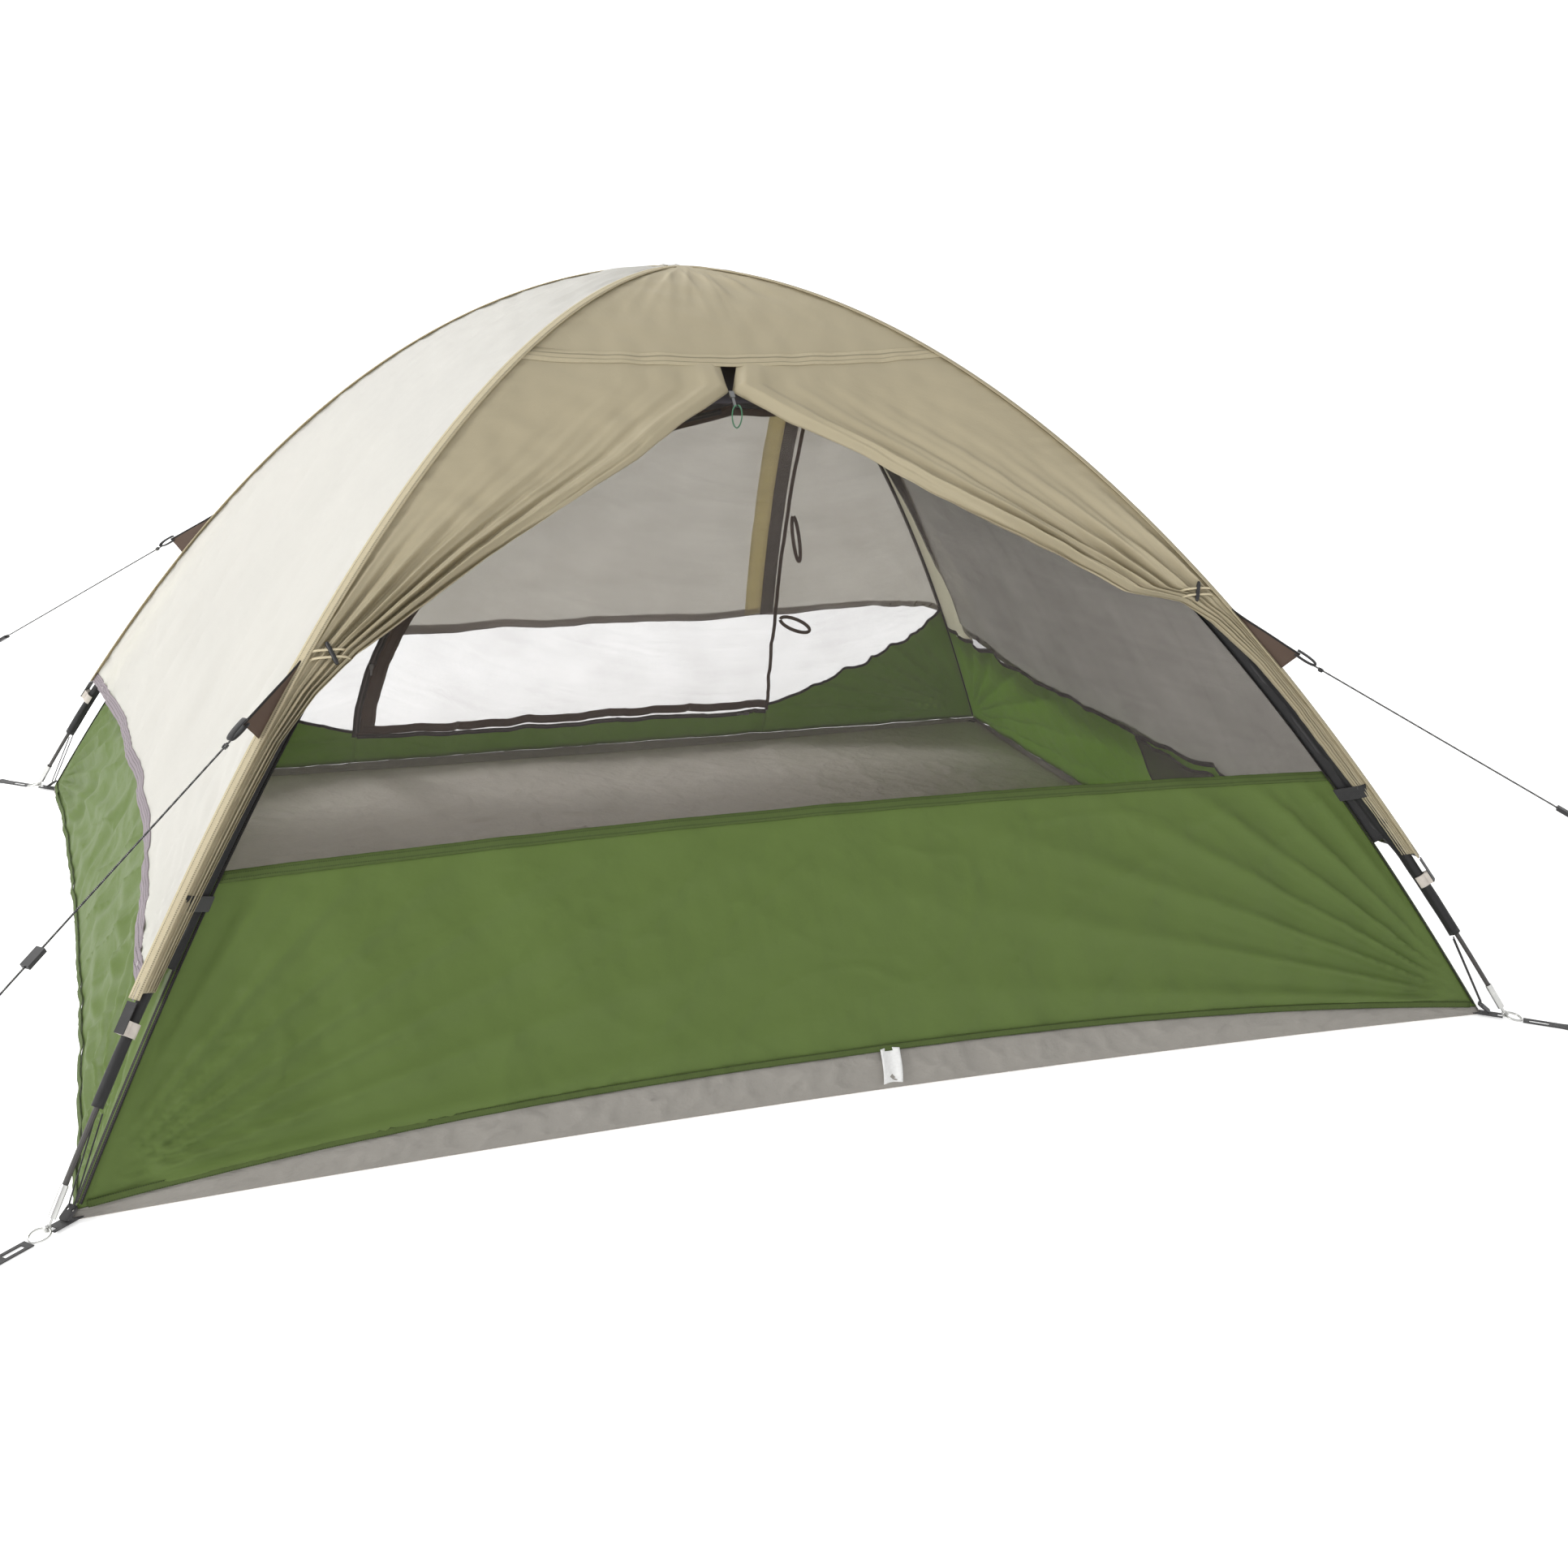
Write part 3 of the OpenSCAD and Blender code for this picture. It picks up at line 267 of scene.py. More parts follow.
    def corner_plane(self, k, along, sideways, up):
        """Points given in a corner's own plane: along the diagonal, sideways and up."""
        t = self.corner_turn[k]
        x = along * cos(t) - sideways * sin(t)
        y = along * sin(t) + sideways * cos(t)
        return joined(x, y, up)


def joined(*parts):
    """Vectors from their parts, spread to one shape."""
    return np.stack(np.broadcast_arrays(*parts), -1)


def unit(v):
    """Vectors of length one."""
    return v / np.maximum(np.linalg.norm(v, axis=-1, keepdims=True), 1e-12)


def ease(x, low, high):
    """Smooth step: 0 below low, 1 above high, 3t^2 - 2t^3 between."""
    t = np.clip((x - low) / (high - low), 0, 1)
    return t * t * (3 - 2 * t)


def ripples(a, d, seed, size, stretch, count=12):
    """Sum of sine waves of random direction, phase and length near size; stretch draws them
    out along a. Divided by the root of their number, so that it mostly stays within 1."""
    rng = np.random.default_rng(seed)
    way = rng.uniform(0, pi, count)
    wave = 2 * pi / (size * rng.uniform(0.65, 1.6, count))
    phase = rng.uniform(0, 2 * pi, count)
    inside = np.multiply.outer(a, wave * np.cos(way) / stretch) + np.multiply.outer(d, wave * np.sin(way))
    return np.sin(inside + phase).sum(-1) / np.sqrt(count)


def crease(wave, width):
    """Sharp ridge where a wave crosses zero: exp(-|wave| / width)."""
    return np.exp(-np.abs(wave) / width)


def fan(a, d, at, count, seed, near, far):
    """Folds that spread from a point: a wave of the angle round it, with its crests narrower
    than its hollows, that fades in by near and out by far."""
    rng = np.random.default_rng(seed)
    x, y = a - at[0], d - at[1]
    away = np.hypot(x, y)
    angle = np.arctan2(np.abs(y), np.abs(x) + 1e-9)
    wave = count * angle + 1.3 * np.sin(3.1 * angle + rng.uniform(0, 6)) + rng.uniform(0, 6)
    crest = np.exp(1.2 * (np.sin(wave) - 1)) * 2 - 0.7
    return crest * ease(away, 0, near * 2) * np.exp(-(away / far) ** 2)


# ---- Meshes ----
def grid_piece(name, points, uv, around=False, ends=False, wall=0.0, wall_to=-1.0):
    """Mesh of a grid of points, rows down and columns to the right as seen from outside.
    around joins the last column to the first, ends closes the first and last rows, and wall
    gives an open sheet its thickness."""
    rows, cols = points.shape[:2]
    i = np.arange(rows - 1)[:, None]
    j = np.arange(cols if around else cols - 1)[None, :]
    following = (j + 1) % cols
    quads = joined(i * cols + j, (i + 1) * cols + j, (i + 1) * cols + following, i * cols + following)
    corner_uv = np.stack([uv[:-1, :-1], uv[1:, :-1], uv[1:, 1:], uv[:-1, 1:]], 2)
    quads = quads.reshape(-1, 4)
    faces = quads.tolist()
    corners = corner_uv.reshape(-1, 2)
    if ends:
        faces += [list(range(cols)), list(range(rows * cols - 1, (rows - 1) * cols - 1, -1))]
        corners = np.concatenate([corners, uv[0, :cols], uv[-1, :cols][::-1]])
    if around and volume(points, quads) < 0:
        faces = [face[::-1] for face in faces]
        whole = corners[:len(quads) * 4].reshape(-1, 4, 2)[:, ::-1].reshape(-1, 2)
        rest = corners[len(whole):]
        if ends:
            rest = np.concatenate([rest[:cols][::-1], rest[cols:][::-1]])
        corners = np.concatenate([whole, rest])
    mesh = bpy.data.meshes.new(name)
    mesh.from_pydata(points.reshape(-1, 3).tolist(), [], faces)
    mesh.uv_layers.new(name="cloth").data.foreach_set("uv", corners.ravel())
    mesh.polygons.foreach_set("use_smooth", [True] * len(mesh.polygons))
    mesh.update()
    piece = bpy.data.objects.new(name, mesh)
    bpy.context.scene.collection.objects.link(piece)
    if wall:
        thick = piece.modifiers.new("wall", "SOLIDIFY")
        thick.thickness, thick.offset = wall, wall_to
    return piece


def volume(points, quads):
    """Signed volume of a closed grid, from the tetrahedra to its middle."""
    p = points.reshape(-1, 3) - points.reshape(-1, 3).mean(0)
    a, b, c, d = (p[quads[:, k]] for k in range(4))
    return (np.cross(a, b) * c).sum() + (np.cross(a, c) * d).sum()


def cloth_uv(points):
    """Cloth coordinates in metres: length across each row from its middle, length down each column."""
    across = np.linalg.norm(np.diff(points, axis=1), axis=-1)
    across = np.concatenate([np.zeros((len(points), 1)), np.cumsum(across, 1)], 1)
    down = np.linalg.norm(np.diff(points, axis=0), axis=-1)
    down = np.concatenate([np.zeros((1, points.shape[1])), np.cumsum(down, 0)], 0)
    return np.stack([across - across[:, -1:] / 2, down], -1)


def smooth_path(points, step):
    """Catmull-Rom curve through the points, resampled evenly at about step."""
    p = np.asarray(points, float)
    q = np.concatenate([[2 * p[0] - p[1]], p, [2 * p[-1] - p[-2]]])
    t = np.linspace(0, 1, 24, endpoint=False)[None, :, None]
    a, b, c, d = (q[k:len(q) - 3 + k, None] for k in range(4))
    curve = 0.5 * (2 * b + (c - a) * t + (2 * a - 5 * b + 4 * c - d) * t ** 2
                   + (3 * b - a - 3 * c + d) * t ** 3)
    curve = np.concatenate([curve.reshape(-1, p.shape[1]), p[-1:]])
    run = path_run(curve)
    even = np.linspace(0, run[-1], max(3, int(run[-1] / step) + 1))
    return np.stack([np.interp(even, run, curve[:, k]) for k in range(p.shape[1])], -1)


def path_run(path):
    """Length along a path at each of its points."""
    return np.concatenate([[0], np.cumsum(np.linalg.norm(np.diff(path, axis=0), axis=1))])


def path_length(path):
    """Length of a whole path, to the millimetre."""
    return round(float(path_run(path)[-1]), 3)


def sweep(name, path, normals, wide, thick, sides=12, square=0.5):
    """Closed solid: a rounded-square section, wide across and thick along the normals, carried
    along a path. The section is (cos, sin) with both raised to a power that squares it."""
    tangent = unit(np.gradient(path, axis=0))
    across = unit(np.cross(normals, tangent))
    up = np.cross(tangent, across)
    t = np.linspace(0, 2 * pi, sides + 1)[:-1] + pi / sides
    flat = np.sign(np.cos(t)) * np.abs(np.cos(t)) ** square
    high = np.sign(np.sin(t)) * np.abs(np.sin(t)) ** square
    points = (path[:, None] + across[:, None] * (wide / 2 * flat)[:, None]
              + up[:, None] * (thick / 2 * high)[:, None])
    uv = joined(np.arange(sides + 1) / sides, path_run(path)[:, None])
    return grid_piece(name, points, uv, around=True, ends=True)


def ribbon(name, path, normals, wide, thick=0.0012):
    """Flat tape along a path, square to the normals, with a uv of (metres across, metres along)."""
    tangent = unit(np.gradient(path, axis=0))
    across = unit(np.cross(tangent, normals))
    s = np.linspace(-0.5, 0.5, 5)
    shift = wide * np.ones((len(path), 1)) * s
    points = path[:, None] + across[:, None] * shift[..., None]
    return grid_piece(name, points, joined(shift, path_run(path)[:, None]), wall=thick, wall_to=0)


def tube(name, path, diameter, flat=(0, 0, 1), sides=10):
    """Round cord along a path, its rings square to it."""
    normals = np.broadcast_to(np.asarray(flat, float), path.shape)
    return sweep(name, path, normals, diameter, diameter, sides, 1.0)


def turned(name, profile, place, axes, turns=20):
    """Solid of revolution: a profile of (distance, height) turned round the third axis."""
    t = np.linspace(0, 2 * pi, turns + 1)[:-1]
    ring = np.cos(t)[:, None] * axes[0] + np.sin(t)[:, None] * axes[1]
    points = place + profile[:, 0, None, None] * ring + profile[:, 1, None, None] * axes[2]
    uv = joined(np.linspace(0, 1, turns + 1)[None], profile[:, 1, None])
    return grid_piece(name, points, uv, around=True, ends=True)


# ---- Materials ----
class Value:
    """A shader value in plain expressions: each sign adds one Math node."""

    def __init__(self, finish, socket):
        self.finish, self.socket = finish, socket

    def maths(self, operation, first, second=0.0):
        return self.finish.node("ShaderNodeMath", {"operation": operation}, {0: first, 1: second})

    def __add__(self, other):
        return self.maths("ADD", self, other)

    def __sub__(self, other):
        return self.maths("SUBTRACT", self, other)

    def __rsub__(self, other):
        return self.maths("SUBTRACT", other, self)

    def __mul__(self, other):
        return self.maths("MULTIPLY", self, other)

    def __gt__(self, other):
        return self.maths("GREATER_THAN", self, other)

    def __lt__(self, other):
        return self.maths("LESS_THAN", self, other)

    __radd__, __rmul__ = __add__, __mul__

    def wave(self):
        """Sine of the value."""
        return self.maths("SINE", self)

    def size(self):
        """The value without its sign."""
        return self.maths("ABSOLUTE", self)

    def parts(self):
        """The three parts of a vector."""
        split = self.finish.node("ShaderNodeSeparateXYZ", {}, {0: self})
        outs = split.socket.node.outputs
        return [Value(self.finish, outs[k]) for k in range(3)]


class Finish:
    """A material under construction."""

    def __init__(self, name):
        self.material = bpy.data.materials.new(name)
        self.material.use_nodes = True
        self.tree = self.material.node_tree
        self.tree.nodes.clear()

    def node(self, kind, settings=None, sockets=None, out=0):
        """Adds a node: first its settings, then the values or links of its sockets."""
        made = self.tree.nodes.new(kind)
        for key, value in (settings or {}).items():
            setattr(made, key, value)
        for key, value in (sockets or {}).items():
            if isinstance(value, Value):
                self.tree.links.new(value.socket, made.inputs[key])
            else:
                made.inputs[key].default_value = value
        return Value(self, made.outputs[out])

    def place(self):
        """Object coordinates, in metres."""
        return self.node("ShaderNodeTexCoord", out="Object")

    def cloth(self):
        """The piece's own cloth coordinates, in metres."""
        return self.node("ShaderNodeUVMap", {"uv_map": "cloth"})

    def scaled(self, where, by):
        """Coordinates times a size for each axis."""
        return self.node("ShaderNodeVectorMath", {"operation": "MULTIPLY"}, {0: where, 1: by})

    def noise(self, where, size, detail=3.0, rough=0.55):
        """Noise with features of about size metres."""
        return self.node("ShaderNodeTexNoise", {}, {"Vector": where, "Scale": 1 / size,
                                                    "Detail": detail, "Roughness": rough})

    def blend(self, share, first, second):
        """Colour between two colours."""
        sockets = {0: share, 6: rgba(first), 7: rgba(second)}
        return self.node("ShaderNodeMix", {"data_type": "RGBA"}, sockets, out=2)

    def bump(self, height, distance, strength=1.0, under=None):
        """Surface relief of a height from 0 to 1, distance metres deep."""
        sockets = {"Height": height, "Distance": distance, "Strength": strength}
        if under is not None:
            sockets["Normal"] = under
        return self.node("ShaderNodeBump", {}, sockets)

    def close(self, sockets, glow=0.0, glow_colour=None):
        """Finishes the material; glow is the share of light that passes through the cloth."""
        shader = self.node("ShaderNodeBsdfPrincipled", {}, sockets)
        if glow:
            through = {"Color": rgba(glow_colour)}
            if "Normal" in sockets:
                through["Normal"] = sockets["Normal"]
            lit = self.node("ShaderNodeBsdfTranslucent", {}, through)
            shader = self.node("ShaderNodeMixShader", {}, {0: glow, 1: shader, 2: lit})
        self.node_out(shader)
        return self.material

    def node_out(self, shader):
        """Links the material's output."""
        made = self.tree.nodes.new("ShaderNodeOutputMaterial")
        self.tree.links.new(shader.socket, made.inputs["Surface"])


def rgba(tint):
    """A colour with full alpha; a link stays as it is."""
    return tint if isinstance(tint, Value) else (*tint[:3], 1.0)


def shade(tint, times):
    """A colour made lighter or darker."""
    return tuple(min(1.0, part * times) for part in tint[:3])


def woven(name, tint, glow=0.45, rough=0.62, weave=0.0022, crinkle=0.4, vary=0.10, warm=1.0):
    """Coated taffeta: threads both ways, fine crinkles, soft patches of colour and gloss."""
    f = Finish(name)
    across, along, _ = f.cloth().parts()
    threads = (across * (2 * pi / weave)).wave() * (along * (2 * pi / weave)).wave()
    patches = f.noise(f.place(), 0.22, 3.0)
    fine = f.noise(f.cloth(), 0.012, 4.0, 0.62)
    soft = f.noise(f.cloth(), 0.05, 3.0, 0.5)
    tone = patches * (vary * 2) + fine * (vary * 0.7) + threads * 0.02 - vary * 0.6
    plain = f.blend(tone, shade(tint, 1.05), shade(tint, 0.72))
    relief = f.bump(soft, 0.0040 * crinkle, 0.8)
    relief = f.bump(fine, 0.0009 * crinkle, 0.7, relief)
    relief = f.bump(threads, 0.00006, 0.5, relief)
    through = f.blend(tone, shade(tint, 1.25 * warm), shade(tint, 0.9 * warm))
    return f.close({"Base Color": plain, "Roughness": rough - 0.1 + fine * 0.2, "Normal": relief,
                    "Specular IOR Level": 0.35, "Sheen Weight": 0.08}, glow, through)


def netting(name, tint, cover, pitch=0.0019, rough=0.8):
    """Insect net: small round holes in a fine knit; cover is how much each face hides."""
    f = Finish(name)
    across, along, _ = f.cloth().parts()
    knit = (across * (2 * pi / pitch)).wave() * (along * (2 * pi / pitch)).wave()
    patches = f.noise(f.place(), 0.16, 2.0)
    stripes = f.noise(f.scaled(f.cloth(), (3.0, 60.0, 1.0)), 1.0, 2.0)
    hidden = cover * 0.75 + patches * (cover * 0.35) + stripes * (cover * 0.15) + knit * (cover * 0.12)
    tone = f.blend(patches, shade(tint, 0.8), shade(tint, 1.3))
    return f.close({"Base Color": tone, "Roughness": rough, "Alpha": hidden,
                    "Normal": f.bump(knit, 0.0002, 0.4), "Specular IOR Level": 0.2})


def tape(name, tint, lines=(), line_tint=(0.02, 0.02, 0.02), stitch=0.0035, rib=0.0012, glow=0.0,
         rough=0.75):
    """Woven tape with ribs across it and rows of stitches at the given distances from its middle."""
    f = Finish(name)
    across, along, _ = f.cloth().parts()
    ribs = (along * (2 * pi / rib)).wave()
    grain = f.noise(f.cloth(), 0.006, 3.0)
    base = f.blend(grain * 0.7 + ribs * 0.08, shade(tint, 1.15), shade(tint, 0.7))
    height = ribs * 0.3 + grain * 0.5
    for line in lines:
        row = (across - line).size() < 0.0009
        dash = (along * (2 * pi / stitch)).wave() > -0.35
        base = f.blend(row * dash, base, line_tint)
        height = height + row * dash * 1.2
    return f.close({"Base Color": base, "Roughness": rough, "Normal": f.bump(height, 0.0005, 0.6),
                    "Specular IOR Level": 0.3}, glow, shade(tint, 1.2))


def webbing(name, tint):
    """Flat woven webbing on a CAD piece: a fine herringbone from its own coordinates."""
    f = Finish(name)
    x, y, z = f.place().parts()
    twill = ((x + y) * (2 * pi / 0.0021)).wave() * ((x - y + z) * (2 * pi / 0.0033)).wave()
    dust = f.noise(f.place(), 0.02, 4.0)
    base = f.blend(dust * 0.8 + twill * 0.15, shade(tint, 0.8), shade(tint, 2.6))
    return f.close({"Base Color": base, "Roughness": 0.78, "Normal": f.bump(twill, 0.0003, 0.6),
                    "Sheen Weight": 0.2})


def plastic(name, tint, rough=0.42):
    """Moulded plastic with a fine grain and a little dust."""
    f = Finish(name)
    grain = f.noise(f.place(), 0.0011, 2.0)
    dust = f.noise(f.place(), 0.015, 4.0)
    base = f.blend(dust * 0.6, shade(tint, 0.9), shade(tint, 1.9))
    return f.close({"Base Color": base, "Roughness": rough + dust * 0.15,
                    "Normal": f.bump(grain, 0.00012, 0.5)})


def steel(name, tint, rough=0.28):
    """Drawn steel: bright, with fine scratches and duller patches."""
    f = Finish(name)
    smear = f.noise(f.place(), 0.01, 4.0)
    scratch = f.noise(f.scaled(f.place(), (1.0, 1.0, 0.08)), 0.0009, 2.0)
    base = f.blend(smear * 0.6, tint, shade(tint, 0.7))
    return f.close({"Base Color": base, "Metallic": 1.0, "Roughness": rough + smear * 0.22 - 0.08,
                    "Normal": f.bump(scratch, 0.00008, 0.5)})


def fibreglass(name, tint):
    """Wrapped fibreglass: dark and satin, with long fine fibres and dull rubs."""
    f = Finish(name)
    fibre = f.noise(f.scaled(f.place(), (1.0, 1.0, 0.25)), 0.0016, 3.0)
    rub = f.noise(f.place(), 0.04, 3.0)
    base = f.blend(fibre * 0.8 + rub * 0.2, shade(tint, 0.75), shade(tint, 1.9))
    return f.close({"Base Color": base, "Roughness": 0.30 + rub * 0.25,
                    "Normal": f.bump(fibre, 0.00015, 0.5)})


def braid(name, tint, fleck, share=0.55):
    """Braided cord: strands crossing round it, every other one flecked with a second colour."""
    f = Finish(name)
    turn, along, _ = f.cloth().parts()
    one = (turn * (4 * pi) + along * (2 * pi / 0.006)).wave()
    two = (turn * (4 * pi) - along * (2 * pi / 0.006)).wave()
    flecks = (one * two + 0.2 * (along * (2 * pi / 0.017)).wave()) > share
    base = f.blend(flecks, shade(tint, 1.0), fleck)
    return f.close({"Base Color": base, "Roughness": 0.7, "Normal": f.bump(one * two, 0.0004, 0.7),
                    "Sheen Weight": 0.15})


def zip_tape(name, tint, tooth_tint):
    """Coil zip: dark woven tape with a raised row of teeth along its middle."""
    f = Finish(name)
    across, along, _ = f.cloth().parts()
    row = across.size() < 0.0022
    teeth = (along * (2 * pi / 0.0022)).wave()
    base = f.blend(row * (teeth > 0.0), tint, tooth_tint)
    height = row * (teeth * 0.5 + 1.0) + f.noise(f.cloth(), 0.003) * 0.2
    return f.close({"Base Color": base, "Roughness": 0.6, "Normal": f.bump(height, 0.0006, 0.7)})


finishes = {}


def finish_named(name):
    """A material of the tent, made once."""
    c = bpy.context.scene.tent_colours
    makers = {
        "pale_fly": lambda n: woven(n, c.pale, 0.60, 0.60, crinkle=0.6, vary=0.07),
        # Darker copy of the fly cloth for the cap, door flaps and crown patch: painted shade.
        "khaki_fly": lambda n: woven(n, c.shaded_fly, 0.34, 0.60, crinkle=0.35, vary=0.07),
        "green_cloth": lambda n: woven(n, c.green, 0.42, 0.50, crinkle=0.55, vary=0.12, warm=1.5),
        # The right wall is the same cloth as the other walls: this lighter, more translucent copy paints
        # sunlight onto it.
        "sunlit_green": lambda n: woven(n, shade(c.green, 1.2), 0.62, 0.50, crinkle=0.55, vary=0.12,
                                        warm=1.6),
        # Cream of the gusset, made lighter to make up for the shade it sits in: painted light over a cream
        # cloth.
        "cream_cloth": lambda n: woven(n, (0.84, 0.80, 0.63), 0.75, 0.60, crinkle=0.5, vary=0.07,
                                       warm=1.2),
        "green_band": lambda n: tape(n, shade(c.green, 0.5), (-0.0045, 0.0045), shade(c.green, 0.25),
                                     glow=0.1),
        "floor_cloth": lambda n: woven(n, c.floor, 0.15, 0.42, crinkle=2.2, vary=0.2),
        "edge_cloth": lambda n: woven(n, shade(c.floor, 0.54), 0.2, 0.6, crinkle=1.6, vary=0.2),
        "side_net": lambda n: netting(n, c.net, 0.42),
        "rear_net": lambda n: netting(n, shade(c.net, 3.0), 0.30),
        "front_net": lambda n: netting(n, shade(c.net, 4.0), 0.035),
        "pocket_net": lambda n: netting(n, shade(c.net, 0.5), 0.62),
        # Dark sheet at the crown: painted shade over the net.
        "lining": lambda n: woven(n, c.lining, 0.15, 0.6, crinkle=0.4),
        "sleeve": lambda n: woven(n, c.black, 0.0, 0.62, crinkle=0.7),
        "binding": lambda n: tape(n, c.binding, (-0.003, 0.003), shade(c.binding, 3)),
        "zip": lambda n: zip_tape(n, c.binding, shade(c.binding, 5)),
        "brown_tape": lambda n: tape(n, c.brown, (-0.008, 0.008), shade(c.brown, 0.4), glow=0.25),
        "brown_cloth": lambda n: woven(n, c.brown, 0.4, 0.6, crinkle=0.4),
        # Tan raised far above the fly's colour to stand for light shining through the tape from behind:
        # painted light on a tan tape.
        "tan_tape": lambda n: tape(n, shade(c.shaded_fly, 1.7), (-0.012, 0.012), shade(c.shaded_fly, 0.8),
                                   glow=0.7),
        "hem_tape": lambda n: tape(n, c.hem, (-0.0065, -0.001, 0.0065), shade(c.hem, 0.25), 0.004,
                                   glow=0.2),
        "pale_seam": lambda n: tape(n, shade(c.shaded_fly, 1.12), (-0.0068, -0.0052, 0.0060),
                                    shade(c.shaded_fly, 0.42), 0.0032, glow=0.3),
        "loop_tape": lambda n: tape(n, shade(c.shaded_fly, 1.3), (-0.004, 0.004), shade(c.shaded_fly, 0.6),
                                    glow=0.2),
        "webbing": lambda n: webbing(n, c.black),
        "black_plastic": lambda n: plastic(n, shade(c.black, 1.1)),
        "clip_plastic": lambda n: plastic(n, (0.42, 0.38, 0.34), 0.5),
        "steel": lambda n: steel(n, c.metal),
        "ferrule_steel": lambda n: steel(n, shade(c.metal, 0.9), 0.35),
        "slider": lambda n: steel(n, (0.30, 0.30, 0.30), 0.4),
        "pole": lambda n: fibreglass(n, (0.030, 0.027, 0.025)),
        "guyline": lambda n: braid(n, (0.016, 0.016, 0.017), (0.5, 0.49, 0.46), 0.72),
        "pull_cord": lambda n: braid(n, c.cord, shade(c.cord, 2.0), 0.5),
        "label": lambda n: tape(n, (0.86, 0.86, 0.85), (), rib=0.001, rough=0.5, glow=0.2),
    }
    if name not in finishes:
        finishes[name] = makers[name]("tent_" + name)
    return finishes[name]


def dress(piece, finish, body=TENT, stands_for=()):
    """Gives a piece its material and its body, and hides the CAD nodes it stands for."""
    piece.data.materials.clear()
    piece.data.materials.append(finish_named(finish))
    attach(piece, body)
    if stands_for:
        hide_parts(*stands_for)
    return piece


def refinish(finish, *nodes):
    """Gives CAD nodes a material."""
    for node in nodes:
        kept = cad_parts[node]
        kept.data.materials.clear()
        kept.data.materials.append(finish_named(finish))


def stretched(points):
    """Works out the area of the grid a sheet was cut to; nothing uses it."""
    a, b = points[1:, 1:] - points[:-1, :-1], points[1:, :-1] - points[:-1, 1:]
    area = float(np.linalg.norm(np.cross(a, b), axis=-1).sum() / 2)


def sheet_piece(name, points, finish, stands_for=(), wall=0.0006, body=TENT):
    """A sheet of cloth from its grid, with its wall and finish."""
    piece = grid_piece(name, points, cloth_uv(points), wall=wall)
    dress(piece, finish, body, stands_for)
    stretched(points)
    return piece


def tent_shape():
    """The tent's shape at the sizes set."""
    return Shape(bpy.context.scene.tent_sizes)


def span(rows, cols, start=-1, stop=1):
    """Grid of t, down from 0 to 1, and u, across from start to stop."""
    return np.linspace(0, 1, rows)[:, None], np.linspace(start, stop, cols)[None, :]


# ---- Camera and lines ----
class TENT_OT_camera(bpy.types.Operator):
    """Place the camera in front of the tent's left corner"""
    bl_idname = "tent.camera"
    bl_label = "Camera"

    def execute(self, context):
        view = context.scene.tent_view
        forward = np.array([sin(view.yaw) * cos(view.pitch), cos(view.yaw) * cos(view.pitch),
                            -sin(view.pitch)])
        right = np.array([cos(view.yaw), -sin(view.yaw), 0.0])
        up = np.cross(right, forward)
        side = cos(view.roll) * right + sin(view.roll) * up
        top = -sin(view.roll) * right + cos(view.roll) * up
        camera = bpy.data.objects.new("camera", bpy.data.cameras.new("camera"))
        camera.data.lens, camera.data.sensor_width = view.lens, 36.0
        camera.data.clip_start, camera.data.clip_end = 0.05, 200.0
        turn = Matrix(np.stack([side, top, -forward], 1).tolist()).to_4x4()
        camera.matrix_world = Matrix.Translation(Vector(view.place)) @ turn
        context.scene.collection.objects.link(camera)
        context.scene.camera = camera
        return {"FINISHED"}


# Routes of the lines in metres: [distance from the middle, sideways, height] in each corner's plane.
REAR_LINE = [[1.256, 0, 0.618], [1.376, 0, 0.552], [1.496, 0, 0.486], [1.616, 0, 0.420],
             [1.736, 0, 0.354], [1.796, 0, 0.321], [1.836, 0.005, 0.299], [1.876, 0.011, 0.277],
             [1.906, 0.013, 0.260], [1.926, 0.008, 0.249], [1.932, 0, 0.246], [1.926, -0.008, 0.249],
             [1.906, -0.013, 0.260], [1.876, -0.011, 0.277], [1.840, -0.006, 0.297],
             [1.816, -0.004, 0.310]]
FRONT_LEFT_LINE = [[1.256, 0, 0.618], [1.376, 0, 0.552], [1.496, 0, 0.486], [1.616, 0, 0.420],
                   [1.696, 0, 0.376], [1.716, 0.002, 0.365], [1.756, 0.008, 0.343],
                   [1.796, 0.012, 0.321], [1.826, 0.013, 0.304], [1.846, 0.008, 0.293],
                   [1.852, 0, 0.290], [1.846, -0.008, 0.293], [1.826, -0.013, 0.304],
                   [1.796, -0.012, 0.321], [1.756, -0.008, 0.343], [1.726, -0.004, 0.360]]
FRONT_RIGHT_LINE = [[1.256, 0, 0.618], [1.376, 0, 0.561], [1.496, 0, 0.504], [1.616, 0, 0.447],
                    [1.736, 0, 0.390], [1.776, 0, 0.371], [1.816, 0.005, 0.352],
                    [1.856, 0.011, 0.333], [1.886, 0.013, 0.319], [1.906, 0.008, 0.309],
                    [1.912, 0, 0.306], [1.906, -0.008, 0.309], [1.886, -0.013, 0.319],
                    [1.856, -0.011, 0.333], [1.820, -0.006, 0.350], [1.796, -0.004, 0.362]]
LINES = [FRONT_LEFT_LINE, FRONT_RIGHT_LINE, REAR_LINE, REAR_LINE]


def knot(name, shape, k, at, way, turns, cord):
    """Knot: a helix of a few turns round the line, drawn in at both ends, of cord that wide."""
    t = np.linspace(0, 1, 26 * turns)
    angle = 2 * pi * turns * t
    swell = cord * (0.75 + 0.25 * np.sin(pi * t))
    side = np.array([-way[1], way[0]])
    run, out = (t - 0.5) * turns * cord, swell * np.cos(angle)
    along = at[0] + way[0] * run + side[0] * out
    high = at[2] + way[1] * run + side[1] * out
    path = shape.corner_plane(k, along, at[1] + swell * np.sin(angle), high)
    return tube(name, path, cord, flat=(0.05, 0.1, 1), sides=8)


